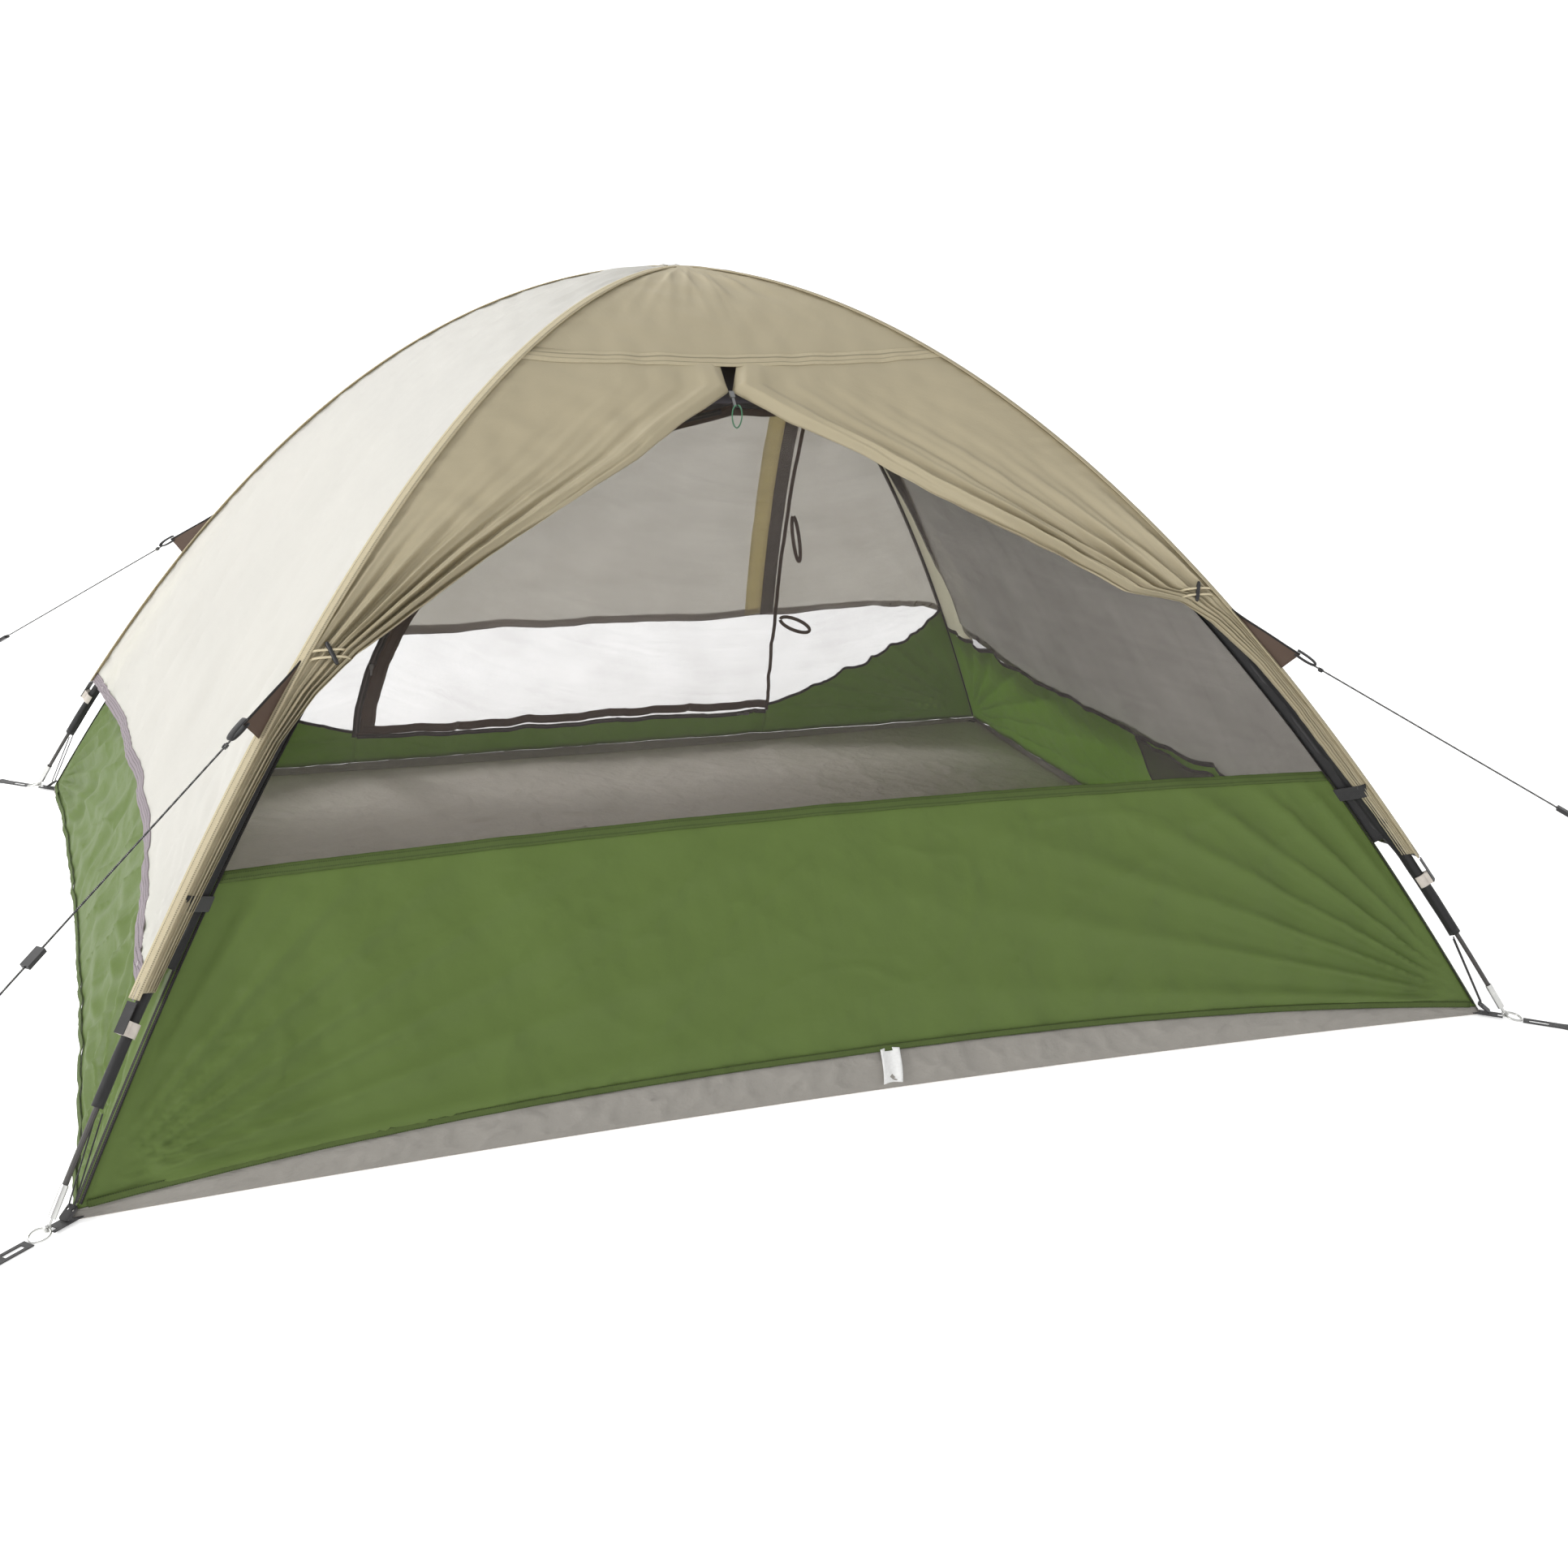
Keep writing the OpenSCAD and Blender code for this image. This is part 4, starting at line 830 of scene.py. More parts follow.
class TENT_OT_guylines(bpy.types.Operator):
    """Make the four guylines, each with its knots, down to the loop for its stake"""
    bl_idname = "tent.guylines"
    bl_label = "Guylines"

    def execute(self, context):
        shape, cord = tent_shape(), context.scene.tent_sizes.line
        for k, corner in enumerate(CORNERS):
            route = np.array(LINES[k])
            path = smooth_path(shape.corner_plane(k, *route.T), 0.004)
            way = unit(route[1] - route[0])[[0, 2]]
            flat = shape.corner_plane(k, -way[1], 0.0, way[0])
            line = tube("guyline_" + corner + "_cord", path, cord, flat)
            dress(line, "guyline", TENT, ["guyline_" + corner])
            upper = knot("guyline_" + corner + "_top_knot", shape, k, route[0] + [0.012, 0, -0.0065],
                         way, 3, cord * 0.95)
            lower = knot("guyline_" + corner + "_end_knot", shape, k, route[-1] - [0.004, 0, -0.002],
                         way, 4, cord * 0.95)
            for piece in (upper, lower):
                dress(piece, "guyline")
            path_length(path)
        refinish("black_plastic", *["tensioner_" + corner for corner in CORNERS])
        return {"FINISHED"}


# ---- Fly ----
CROWN = 0.008  # reach at which the fly's panels begin beside the crossing
TOGGLES = (0.712, 0.735)  # heights of the left and the right toggle


def seam_height(shape, u):
    """Height of the seam over the door: it sags in the middle."""
    return shape.sizes.cap_seam - 0.015 * (1 - u * u)


def hem_height(shape, side, u):
    """Height of a hem: the left one rises a little in the middle and the right one sags, by
    (1 - u^2), and the rear one drops at its corners."""
    if side == REAR:
        return shape.sizes.rear_hem - 0.080 * np.abs(u) ** 30
    if side == RIGHT:
        return shape.sizes.side_hem - shape.sizes.hem_sag * (1 - u * u)
    return shape.sizes.side_hem + 0.012 * (1 - u * u)


def fly_panel(shape, side, name, node, finish, low_of, rows, cols):
    """A panel of the fly from the crown down to the height that low_of gives across it."""
    t, u = span(rows, cols)
    low = shape.fly.reach(low_of(u))
    points = shape.fly_skin(side, CROWN + (low - CROWN) * t ** 0.9, u)
    sheet_piece(name, points, finish, [node])


class TENT_OT_fly(bpy.types.Operator):
    """Make the cap, side panels and rear panel of the fly"""
    bl_idname = "tent.fly"
    bl_label = "Fly panels"

    def execute(self, context):
        shape = tent_shape()
        for side, node in ((LEFT, "fly_left"), (RIGHT, "fly_right"), (REAR, "fly_rear")):
            fly_panel(shape, side, node + "_panel", node, "pale_fly",
                      lambda u: hem_height(shape, side, u), 120, 151)
        # The cap takes the darker copy of the fly cloth: painted shade.
        fly_panel(shape, FRONT, "fly_cap_panel", "fly_front_cap", "khaki_fly",
                  lambda u: seam_height(shape, u), 40, 131)
        return {"FINISHED"}


# Free edges of the door flaps: [distance from the middle, height] down to the toggles, then
# [width of the gathered strip, height].
LEFT_EDGE = [[-0.038, 1.122], [-0.030, 1.080], [-0.136, 1.029], [-0.227, 0.976], [-0.345, 0.922],
             [-0.513, 0.839], [-0.663, 0.756], [-0.745, 0.712]]
LEFT_STRIP = [[0.080, 0.712], [0.052, 0.665], [0.036, 0.600], [0.030, 0.420], [0.026, 0.285]]
RIGHT_EDGE = [[-0.002, 1.122], [-0.024, 1.080], [0.067, 1.027], [0.182, 0.975], [0.284, 0.918],
              [0.393, 0.861], [0.541, 0.788], [0.628, 0.745], [0.700, 0.722]]
RIGHT_STRIP = [[0.085, 0.735], [0.050, 0.690], [0.030, 0.620], [0.024, 0.420], [0.022, 0.285]]


def flap_edge(shape, hand, z):
    """Distance of a flap's free edge from the middle at a height."""
    edge, strip = (LEFT_EDGE, LEFT_STRIP) if hand < 0 else (RIGHT_EDGE, RIGHT_STRIP)
    edge, strip = np.array(edge[::-1]), np.array(strip[::-1])
    hanging = np.interp(z, edge[:, 1], edge[:, 0])
    gathered = hand * (shape.half(FRONT, shape.fly.reach(z)) - np.interp(z, strip[:, 1], strip[:, 0]))
    share = ease(z, strip[-1, 1] - 0.012, strip[-1, 1] + 0.012)
    return gathered * (1 - share) + hanging * share


def flap_skin(shape, hand, t, s):
    """Tied-back flap: s runs from the pole's seam to the free edge. Folds run along the free
    edge and draw together at the toggle; the edge rolls under."""
    toggle = TOGGLES[hand > 0]
    top, low = seam_height(shape, 0.0) + 0.006, shape.sizes.side_hem + 0.006
    z = np.interp(t, [0, 0.08, 0.52, 0.60, 1], [top, top - 0.052, toggle + 0.03, toggle - 0.03, low])
    edge = flap_edge(shape, hand, z)
    r = shape.fly.reach(z)
    half = shape.half(FRONT, r)
    u = (hand * half * (1 - s) + edge * s) / half
    r = shape.fly.reach(z + (seam_height(shape, u) + 0.006 - top) * np.clip(1 - t / 0.10, 0, 1))
    width = np.abs(hand * half - edge)
    away, seam_away = width * (1 - s), width * s
    above = ease(z, toggle - 0.02, toggle + 0.03)
    near = np.exp(-((z - toggle) / 0.13) ** 2)
    depth = np.interp(z, [0.28, 0.5, toggle - 0.05, toggle, toggle + 0.08, 0.95, 1.08],
                      [0.003, 0.005, 0.0075, 0.0035, 0.0085, 0.0050, 0.0010])
    sway = 0.5 * np.sin(z * 13 + hand) + 0.3 * np.sin(z * 31)
    folds = (np.cos(2 * pi * 5.5 * (1 - s) ** 0.75 + sway)
             + 0.35 * np.cos(2 * pi * 13 * (1 - s) ** 0.8 - sway))
    spread = np.exp(-((1 - s) / (0.55 + 0.35 * near)) ** 2)
    lift = depth * folds * spread + 0.012 * above * ease(away, 0, 0.02) * ease(0.10 - away, 0, 0.10)
    lift = lift + 0.006 * near * folds * above
    lift = lift - 0.012 * np.exp(-away / 0.0055)
    lift = lift * ease(seam_away, 0, 0.025) * ease(t, 0, 0.07)
    return shape.fly_skin(FRONT, r, u, lift)


class TENT_OT_door_flaps(bpy.types.Operator):
    """Make both flaps of the fly's door, tied back to the poles"""
    bl_idname = "tent.door_flaps"
    bl_label = "Door flaps"

    def execute(self, context):
        shape = tent_shape()
        t, s = span(190, 110, 0)
        s = s ** 0.85
        for hand, name in ((-1, "left"), (1, "right")):
            points = flap_skin(shape, hand, t, s if hand < 0 else s[:, ::-1])
            # Both flaps take the darker copy of the fly cloth: painted shade.
            sheet_piece("door_flap_" + name, points, "khaki_fly", ["fly_door_" + name])
        return {"FINISHED"}


def tape_uv(points):
    """Tape coordinates: metres across from the middle, metres along."""
    uv = cloth_uv(points)
    across = uv[..., 1] - uv[-1:, :, 1] / 2
    return np.stack([across, uv[..., 0]], -1)


def flat_tape(name, points, wall, finish, stands_for=()):
    """A tape from its grid, half its thickness on each side of it."""
    strip = grid_piece(name, points, tape_uv(points), wall=wall, wall_to=0)
    return dress(strip, finish, TENT, stands_for)


def ridge_seam(shape, k, corner):
    """Tape down a ridge of the fly, square to its arch."""
    r = np.linspace(0.03, shape.fly.reach(shape.sizes.side_hem), 260)
    path = shape.corner_plane(k, r, 0.0, shape.fly.rise(r))
    slope = np.gradient(shape.fly.rise(r), r)
    out = unit(joined(-slope, np.ones_like(r)))
    normals = shape.corner_plane(k, out[:, 0], 0.0, out[:, 1])
    seam = ribbon("fly_ridge_seam_" + corner, path + normals * 0.0006, normals, 0.021, 0.0014)
    dress(seam, "pale_seam")


def hem_strip(shape, side, up=0.019, down=0.002):
    """Grid of a tape over a hem, up metres above it and down metres below."""
    t, u = span(5, 181)
    r = shape.fly.reach(hem_height(shape, side, u) + up - (up + down) * t)
    return shape.fly_skin(side, r, u, 0.0012)


def fly_zip(shape):
    """Rear zip of the fly, outside the door's sewn edge: a black and a tan tape inside it and
    a cover outside; the tan tape and the cover take a tan made lighter as painted light."""
    z = np.linspace(0.93, shape.sizes.rear_hem + 0.004, 90)
    r = shape.fly.reach(z)
    for name, shift, wide, finish, out in (("fly_rear_zip_black", -0.008, 0.034, "binding", -0.004),
                                           ("fly_rear_zip_tan", -0.046, 0.042, "tan_tape", -0.003),
                                           ("fly_rear_zip_cover", -0.008, 0.034, "tan_tape", 0.002)):
        u = -(door_sewn(z) - 0.004 + shift) / shape.half(REAR, r)
        path = shape.fly_skin(REAR, r, u, out)
        strip = ribbon(name, path, shape.normal(REAR, r, u, shape.fly), wide, 0.0012)
        dress(strip, finish, TENT, ["fly_rear_zip_flap"] if "cover" in name else ())


def crown_patch(shape):
    """Patch over the crossing: a shallow ring, height = -0.004 t^2, with its own underside."""
    t = np.linspace(0, 1, 14)
    profile = np.stack([0.003 + 0.032 * t, 0.0022 - 0.004 * t ** 2], -1)
    under = np.stack([profile[::-1, 0], profile[::-1, 1] - 0.0012], -1)
    patch = turned("fly_crown_patch_cloth", np.concatenate([profile, under]),
                   np.array([0, 0, shape.fly.top - 0.0005]), np.eye(3), 40)
    dress(patch, "khaki_fly", TENT, ["fly_crown_patch"])


class TENT_OT_fly_trim(bpy.types.Operator):
    """Make the fly's seams, hem tapes, rear zip, crown patch and corner tabs"""
    bl_idname = "tent.fly_trim"
    bl_label = "Fly trim"

    def execute(self, context):
        shape = tent_shape()
        for k, corner in enumerate(CORNERS):
            ridge_seam(shape, k, corner)
        t, u = span(4, 160, -0.995, 0.995)
        r = shape.fly.reach(seam_height(shape, u) + 0.010 - 0.018 * t)
        flat_tape("fly_cap_seam", shape.fly_skin(FRONT, r, u, 0.0010), 0.0008, "pale_seam")
        for side, name in ((LEFT, "left"), (RIGHT, "right"), (REAR, "rear")):
            flat_tape("fly_hem_" + name, hem_strip(shape, side), 0.0022, "hem_tape",
                      ["fly_hem_tape"])
        fly_zip(shape)
        crown_patch(shape)
        refinish("clip_plastic", "fly_corner_clips")
        refinish("webbing", "fly_corner_tabs")
        return {"FINISHED"}


# ---- Inner tent ----
SILL, DOOR_TOP, DOOR_RIGHT, DOOR_WIDE, DOOR_LEAN, DOOR_POWER = 0.088, 0.960, 0.575, 1.085, 0.115, 2.0
DIP = 0.018  # height over the sill at which the seams beside the rear door meet it
GUSSET_TOP, GUSSET_FOOT = 0.85, 0.31  # heights between which a gusset widens


def foot_height(u, side=FRONT):
    """Height where a wall starts: low at the corners, higher between them along the front."""
    return 0.014 + (0.052 if side == FRONT else 0.004) * (1 - np.abs(u) ** 2.5)


def wall_top(shape, side, u):
    """Height of a coloured wall's top edge."""
    if side == FRONT:
        return shape.sizes.front_wall + 0.012 * (1 - u * u)
    return shape.sizes.side_wall - 0.024 * (1 - u * u)


def door_sewn(z):
    """Sewn edge of the rear door: a straight line that leans in with height."""
    return DOOR_RIGHT - DOOR_LEAN * (np.maximum(z, SILL) - SILL) / (DOOR_TOP - SILL)


def door_zip(z):
    """Zip of the rear door: a full curve, (1 - share^p)^(1/p), from the top to the sill."""
    top = DOOR_RIGHT - DOOR_LEAN
    share = np.clip((z - SILL) / (DOOR_TOP - SILL), 0, 1)
    return top - (top - DOOR_RIGHT + DOOR_WIDE) * (1 - share ** DOOR_POWER) ** (1 / DOOR_POWER)


def rear_u(shape, x, z):
    """Share across the rear for a distance from the middle."""
    return -x / shape.half(REAR, shape.rear.reach(z))


def rear_points(shape, x, z, out=0.0):
    """Points of the folded rear wall from distances and heights."""
    x, z = np.broadcast_arrays(x, z)
    return shape.inner_skin(REAR, shape.rear.reach(z), rear_u(shape, x, z), out)


def rear_seams(shape):
    """The seams between wall and net on both sides of the rear door: name, the edges that the
    cloth spans, and the seam's height at a share of the way, a power curve with a slight wave."""
    top = shape.sizes.rear_wall

    def half(z):
        return shape.half(REAR, shape.rear.reach(z))

    def wave(s):
        return 0.003 * np.sin(s * 21) * np.sin(pi * s)

    return (("right", half, door_sewn, lambda s: top + (SILL + DIP - top) * s ** 0.8 + wave(s)),
            ("left", door_zip, lambda z: -half(z),
             lambda s: SILL + DIP + (top - SILL - DIP) * s ** 1.2 + wave(s)))


class TENT_OT_walls(bpy.types.Operator):
    """Make the coloured walls of the inner tent and the band along the front wall's top"""
    bl_idname = "tent.walls"
    bl_label = "Walls"

    def execute(self, context):
        shape = tent_shape()
        for side, name in ((FRONT, "front_wall"), (RIGHT, "right_wall"), (LEFT, "left_wall")):
            t, u = span(64, 241)
            arch = shape.inner_arch(side)
            high, low = arch.reach(wall_top(shape, side, u)), arch.reach(foot_height(u, side))
            points = shape.inner_skin(side, high + (low - high) * t, u)
            # The right wall takes the lighter copy of the green cloth: painted sunlight.
            finish = "sunlit_green" if side == RIGHT else "green_cloth"
            sheet_piece(name + "_cloth", points, finish, [name])
        t, u = span(4, 200, -0.995, 0.995)
        r = shape.inner.reach(wall_top(shape, FRONT, u) + 0.009 - 0.016 * t)
        flat_tape("front_wall_band", shape.inner_skin(FRONT, r, u, 0.0009), 0.0020, "green_band")
        t, s = span(34, 80, 0)
        for name, start, stop, height in rear_seams(shape):
            top = height(s)
            low = foot_height(rear_u(shape, start(0.03) * (1 - s) + stop(0.03) * s, 0.03), REAR)
            z = top + (low - top) * t
            x = start(z) * (1 - s) + stop(z) * s
            sheet_piece("rear_wall_" + name + "_cloth", rear_points(shape, x, z), "green_cloth",
                        ["rear_wall"])
        t, x = span(14, 120, DOOR_RIGHT, DOOR_RIGHT - DOOR_WIDE)
        z = SILL - 0.003 + (foot_height(rear_u(shape, x, 0.05), REAR) - SILL + 0.003) * t
        sheet_piece("rear_wall_sill_cloth", rear_points(shape, x, z), "green_cloth",
                    ["rear_wall"])
        return {"FINISHED"}


def gusset_width(z):
    """Width of the pale gusset beside a rear corner: nothing at its top, 0.15 m at the wall."""
    return 0.15 * np.clip((GUSSET_TOP - z) / 0.54, 0, 1)


def wall_net(shape, side, name, finish, high):
    """Net from the dark crown sheet, painted shade, down to the wall's top; a side net ends at its gusset.
    """
    arch = shape.inner_arch(side)
    t, s = span(70, 90)
    z = arch.rise(high + (arch.reach(wall_top(shape, side, s) + 0.001) - high) * t)
    left, right = -np.ones_like(z), np.ones_like(z)
    if side == RIGHT:
        right = 1 - gusset_width(z) / shape.half(side, arch.reach(z))
    if side == LEFT:
        left = gusset_width(z) / shape.half(side, arch.reach(z)) - 1
    u = left + (right - left) * (s + 1) / 2
    r = high + (arch.reach(wall_top(shape, side, u) + 0.001) - high) * t
    sheet_piece(name + "_net", shape.inner_skin(side, r, u), finish, [name + "_mesh"], 0.0004)


def gusset(shape, side, name):
    """Pale gusset beside a rear corner, lapped a little over the wall and the net; its cream is made
    lighter as painted light.
    """
    arch = shape.inner_arch(side)
    t, s = span(40, 8, 0)
    edge = 1 - gusset_width(GUSSET_FOOT) / shape.half(side, arch.reach(GUSSET_FOOT)) * (1 - s)
    z = GUSSET_TOP + (wall_top(shape, side, edge) - 0.014 - GUSSET_TOP) * t
    r = arch.reach(z)
    share = 1 - 1.05 * gusset_width(z) / shape.half(side, r) * (1 - s)
    if side == LEFT:
        r, share = r[:, ::-1], -share[:, ::-1]
    sheet_piece(name + "_gusset", shape.inner_skin(side, r, share, 0.0014), "cream_cloth")


def crown_shade_sheet(shape, side, name, high, begin=0.01):
    """Dark sheet from near the crossing down to a reach: painted shade standing for the net's dark look at
    the crown.
    """
    t, u = span(30, 61)
    points = shape.inner_skin(side, begin + (high - begin) * t, u)
    sheet_piece(name + "_crown_shade_sheet", points, "lining")


class TENT_OT_nets(bpy.types.Operator):
    """Make the nets of the inner tent and the dark sheet of painted shade at its crown"""
    bl_idname = "tent.nets"
    bl_label = "Nets"

    def execute(self, context):
        shape = tent_shape()
        top = shape.sizes.lining
        for side, name, finish, shaded_from in ((FRONT, "front", "front_net", shape.sizes.front_shade_sheet),
                                          (RIGHT, "right", "side_net", top),
                                          (LEFT, "left", "side_net", top)):
            high = shape.inner_arch(side).reach(shaded_from)
            wall_net(shape, side, name, finish, high)
            if side != FRONT:
                gusset(shape, side, name)
            crown_shade_sheet(shape, side, name, high)
        crown_shade_sheet(shape, REAR, "rear", shape.rear.reach(top))
        t, s = span(70, 70, 0)
        for name, start, stop, height in rear_seams(shape):
            z = top + (height(s) - top) * t
            x = start(z) * (1 - s) + stop(z) * s
            sheet_piece("rear_net_" + name, rear_points(shape, x, z), "rear_net",
                        ["rear_mesh"], 0.0004)
        z = top + (SILL - top) * t
        x = door_sewn(z) * (1 - s) + door_zip(z) * s
        sheet_piece("rear_door_net", rear_points(shape, x, z), "rear_net", ["rear_door"], 0.0004)
        return {"FINISHED"}


def skin_tape(name, shape, side, r, u, wide, finish, out=-0.0016, stands_for=()):
    """Tape along a line of the inner tent, out metres outside it."""
    normals = shape.normal(side, r, u, shape.inner_arch(side))
    strip = ribbon(name, shape.inner_skin(side, r, u, out), normals, wide)
    return dress(strip, finish, TENT, stands_for)


def rear_tape(name, shape, x, z, wide, finish, out=-0.0016, stands_for=()):
    """Tape along a line of the rear wall, given by distances and heights."""
    return skin_tape(name, shape, REAR, shape.rear.reach(z), rear_u(shape, x, z), wide, finish,
                     out, stands_for)


class TENT_OT_bindings(bpy.types.Operator):
    """Make the tapes along the inner tent's seams, its rear zips and door edges"""
    bl_idname = "tent.bindings"
    bl_label = "Bindings and zips"

    def execute(self, context):
        shape = tent_shape()
        for side, name in ((RIGHT, "right"), (LEFT, "left")):
            u = np.linspace(-0.99, 0.99, 160)
            r = shape.inner.reach(wall_top(shape, side, u))
            skin_tape(name + "_wall_binding", shape, side, r, u, 0.013, "binding")
        for k, corner in enumerate(CORNERS):
            z = np.linspace(0.02, 1.16, 160)
            path = shape.corner_plane(k, shape.inner.reach(z) - 0.002, 0.0, z)
            out = unit(shape.corner_plane(k, 1.0, 0.0, 0.35))
            dress(ribbon("inner_seam_" + corner, path, out, 0.012), "binding")
        z = np.linspace(SILL, shape.sizes.lining, 90)
        sill_x = np.linspace(DOOR_RIGHT - 0.002, DOOR_RIGHT - DOOR_WIDE + 0.004, 140)
        sill_z = SILL + 0.003 * np.sin(sill_x * 9)
        for name, x, height, wide in (("side", door_zip(z), z, 0.018),
                                      ("edge_side", door_zip(z) + 0.027, z, 0.036),
                                      ("edge_sewn", door_sewn(z), z, 0.009),
                                      ("sill", sill_x, sill_z, 0.014),
                                      ("edge_sill", sill_x, sill_z + 0.021, 0.026)):
            if "edge" in name:
                rear_tape("rear_door_" + name, shape, x, height, wide, "brown_tape", out=-0.0018)
            else:
                rear_tape("rear_door_zip_" + name, shape, x, height, wide, "zip", out=-0.003,
                          stands_for=["rear_door_zips"])
        x = np.linspace(door_sewn(0.935) - 0.002, -0.10, 60)
        rear_tape("rear_door_edge_top", shape, x, 0.935 + 0 * x, 0.022, "brown_tape")
        s = np.linspace(0, 1, 80)
        for name, start, stop, height in rear_seams(shape):
            z = height(s)
            x = start(z) * (1 - s) + stop(z) * s
            rear_tape("rear_wall_binding_" + name, shape, x, z, 0.009, "binding")
        return {"FINISHED"}


# ---- Floor ----
def floor_point(shape, s, t):
    """Floor from its four edges: each coordinate is its share of the half size, pulled in by
    (1 - share^2) of the other."""
    wide, deep, pull = shape.sizes.floor_width / 2, shape.sizes.floor_depth / 2, shape.sizes.floor_pull
    return s * (wide - pull * (1 - t * t)), t * (deep - pull * (1 - s * s))


def floor_cloth(shape):
    """Groundsheet: crumples are sharp ridges of three sizes over long soft folds, flat at the edge."""
    t, s = np.linspace(1, -1, 190)[:, None], np.linspace(-1, 1, 210)[None, :]
    x, y = floor_point(shape, s, t)
    crumple = (crease(ripples(x, y, 91, 0.22, 1.0), 0.16)
               + 0.7 * crease(ripples(x, y, 92, 0.12, 1.0), 0.18))
    small = crease(ripples(x, y, 94, 0.06, 1.0), 0.25)
    long_folds = ripples(x, y, 93, 0.5, 1.5)
    z = 0.0050 + 0.0055 * crumple + 0.0016 * small + 0.0025 * long_folds
    z = np.maximum(z, 0.0008) * (1 - np.maximum(np.abs(s), np.abs(t)) ** 30) + 0.0012
    sheet_piece("floor_cloth", joined(x, y, z), "floor_cloth", ["floor"])


def floor_edge(shape, side, name):
    """Turned-up edge of the floor, a bulging strip from the ground to the wall's foot, and the
    seam tape above it."""
    t, u = span(22, 301)
    arch = shape.inner_arch(side)
    high = shape.inner_skin(side, arch.reach(foot_height(u, side) - 0.001), u)[0]
    edge = {FRONT: (u, -1.0), RIGHT: (1.0, u), REAR: (-u, 1.0), LEFT: (-1.0, -u)}[side]
    low = joined(*floor_point(shape, *edge), 0.0012)[0]
    out = np.array([[0, -1, 0], [1, 0, 0], [0, 1, 0], [-1, 0, 0]], float)[side]
    run = u[0] * shape.half(side, arch.base)
    bulge = np.sin(pi * t) * (0.006 + 0.004 * ripples(run, 0 * run, 71 + side, 0.22, 1.0))
    rumple = crease(ripples(run * np.ones_like(t), t * 0.09, 75 + side, 0.10, 0.8), 0.25) - 0.3
    bulge = bulge + 0.0075 * rumple * np.sin(pi * t) ** 0.7
    bulge = bulge * (1 - np.abs(u) ** 12) * high[:, 2] / foot_height(0.0)
    points = high * (1 - t[..., None]) + low * t[..., None] + out * bulge[..., None]
    points[..., 2] = np.maximum(points[..., 2], 0.0008)
    sheet_piece("floor_edge_" + name, points, "edge_cloth", ["floor_edge_strips"])
    path = high + [0, 0, 0.005] + out * 0.0012
    seam = ribbon("floor_seam_" + name, path[2:-2], out + [0, 0, 0.5], 0.011, 0.0014)
    dress(seam, "green_band")


def care_label(shape):
    """Blank label that hangs from the front wall's foot and curls outwards."""
    r = shape.inner.reach(foot_height(0.0))
    start = shape.point(FRONT, r, 0.045, shape.inner) + [0.0, -0.004, 0.004]
    t, s = span(20, 9, -0.5, 0.5)
    x = start[0] + s * 0.034 + 0.004 * t
    y = start[1] - 0.010 * np.sin(t * 2.2) - 0.004 * t + 0.003 * np.cos(s * 5)
    z = start[2] - 0.058 * t
    sheet_piece("care_label_blank", joined(x, y, z), "label", ["care_label"], 0.0005)


class TENT_OT_floor(bpy.types.Operator):
    """Make the groundsheet, its turned-up edges and the blank label"""
    bl_idname = "tent.floor"
    bl_label = "Floor"

    def execute(self, context):
        shape = tent_shape()
        floor_cloth(shape)
        for side, name in ((FRONT, "front"), (RIGHT, "right"), (REAR, "rear"), (LEFT, "left")):
            floor_edge(shape, side, name)
        care_label(shape)
        return {"FINISHED"}


# ---- Poles and corners ----
def sleeve(shape, node, turn, drop):
    """Pole sleeve: a round tube along the pole, loosely rippled, drawn out to a tail below, and
    lowered by drop near the crossing, where the other pole passes."""
    low = shape.pole.reach(0.150)
    r = np.linspace(-low, low, 420)
    near = np.exp(-(r / 0.240) ** 2)
    z = shape.pole.rise(r) - drop * near
    slope = np.gradient(z, r)
    down = unit(joined(slope, -np.ones_like(r)))
    t = np.linspace(0, 2 * pi, 29)[:-1]
    tail = np.exp(-(((t - pi / 2 + pi) % (2 * pi) - pi) / 0.22) ** 2)
    loose = 1 + 0.045 * ripples(r[:, None] * np.ones_like(t), t * 0.02, 41, 0.05, 1.0)
    narrow = 0.30 + 0.70 * ease(z, 0.28, 0.36)
    radius = 0.0082 * loose + tail * (0.0165 * (1 - near) * narrow)[:, None]
    across = radius * np.cos(t) * (1 - 0.75 * tail)
    deep = radius * np.sin(t)
    along = r[:, None] + down[:, :1] * deep
    up = z[:, None] + down[:, 1:] * deep
    x = along * cos(turn) - across * sin(turn)
    y = along * sin(turn) + across * cos(turn)
    uv = joined(np.linspace(0, 0.06, 29)[None], r[:, None])
    piece = grid_piece(node + "_cloth", joined(x, y, up), uv, around=True, ends=True)
    dress(piece, "sleeve", TENT, [node])


def sleeve_web(shape, k, corner):
    """Web of cloth that joins the inner tent's corner seam to the sleeve over it."""
    z = np.linspace(0.30, 1.10, 120)[:, None]
    share = np.linspace(0, 1, 6)[None, :]
    inner_end = shape.inner.reach(z) - 0.001
    pole_end = shape.pole.reach(z + 0.020) - 0.004
    along = inner_end * (1 - share) + pole_end * share
    sway = 0.0010 * ripples(z * 3, z, 61 + k, 0.2, 1.0) * np.sin(pi * share)
    points = shape.corner_plane(k, along, sway, z + 0.020 * share)
    web = grid_piece("sleeve_web_" + corner, points, cloth_uv(points), wall=0.0010, wall_to=0)
    dress(web, "sleeve")


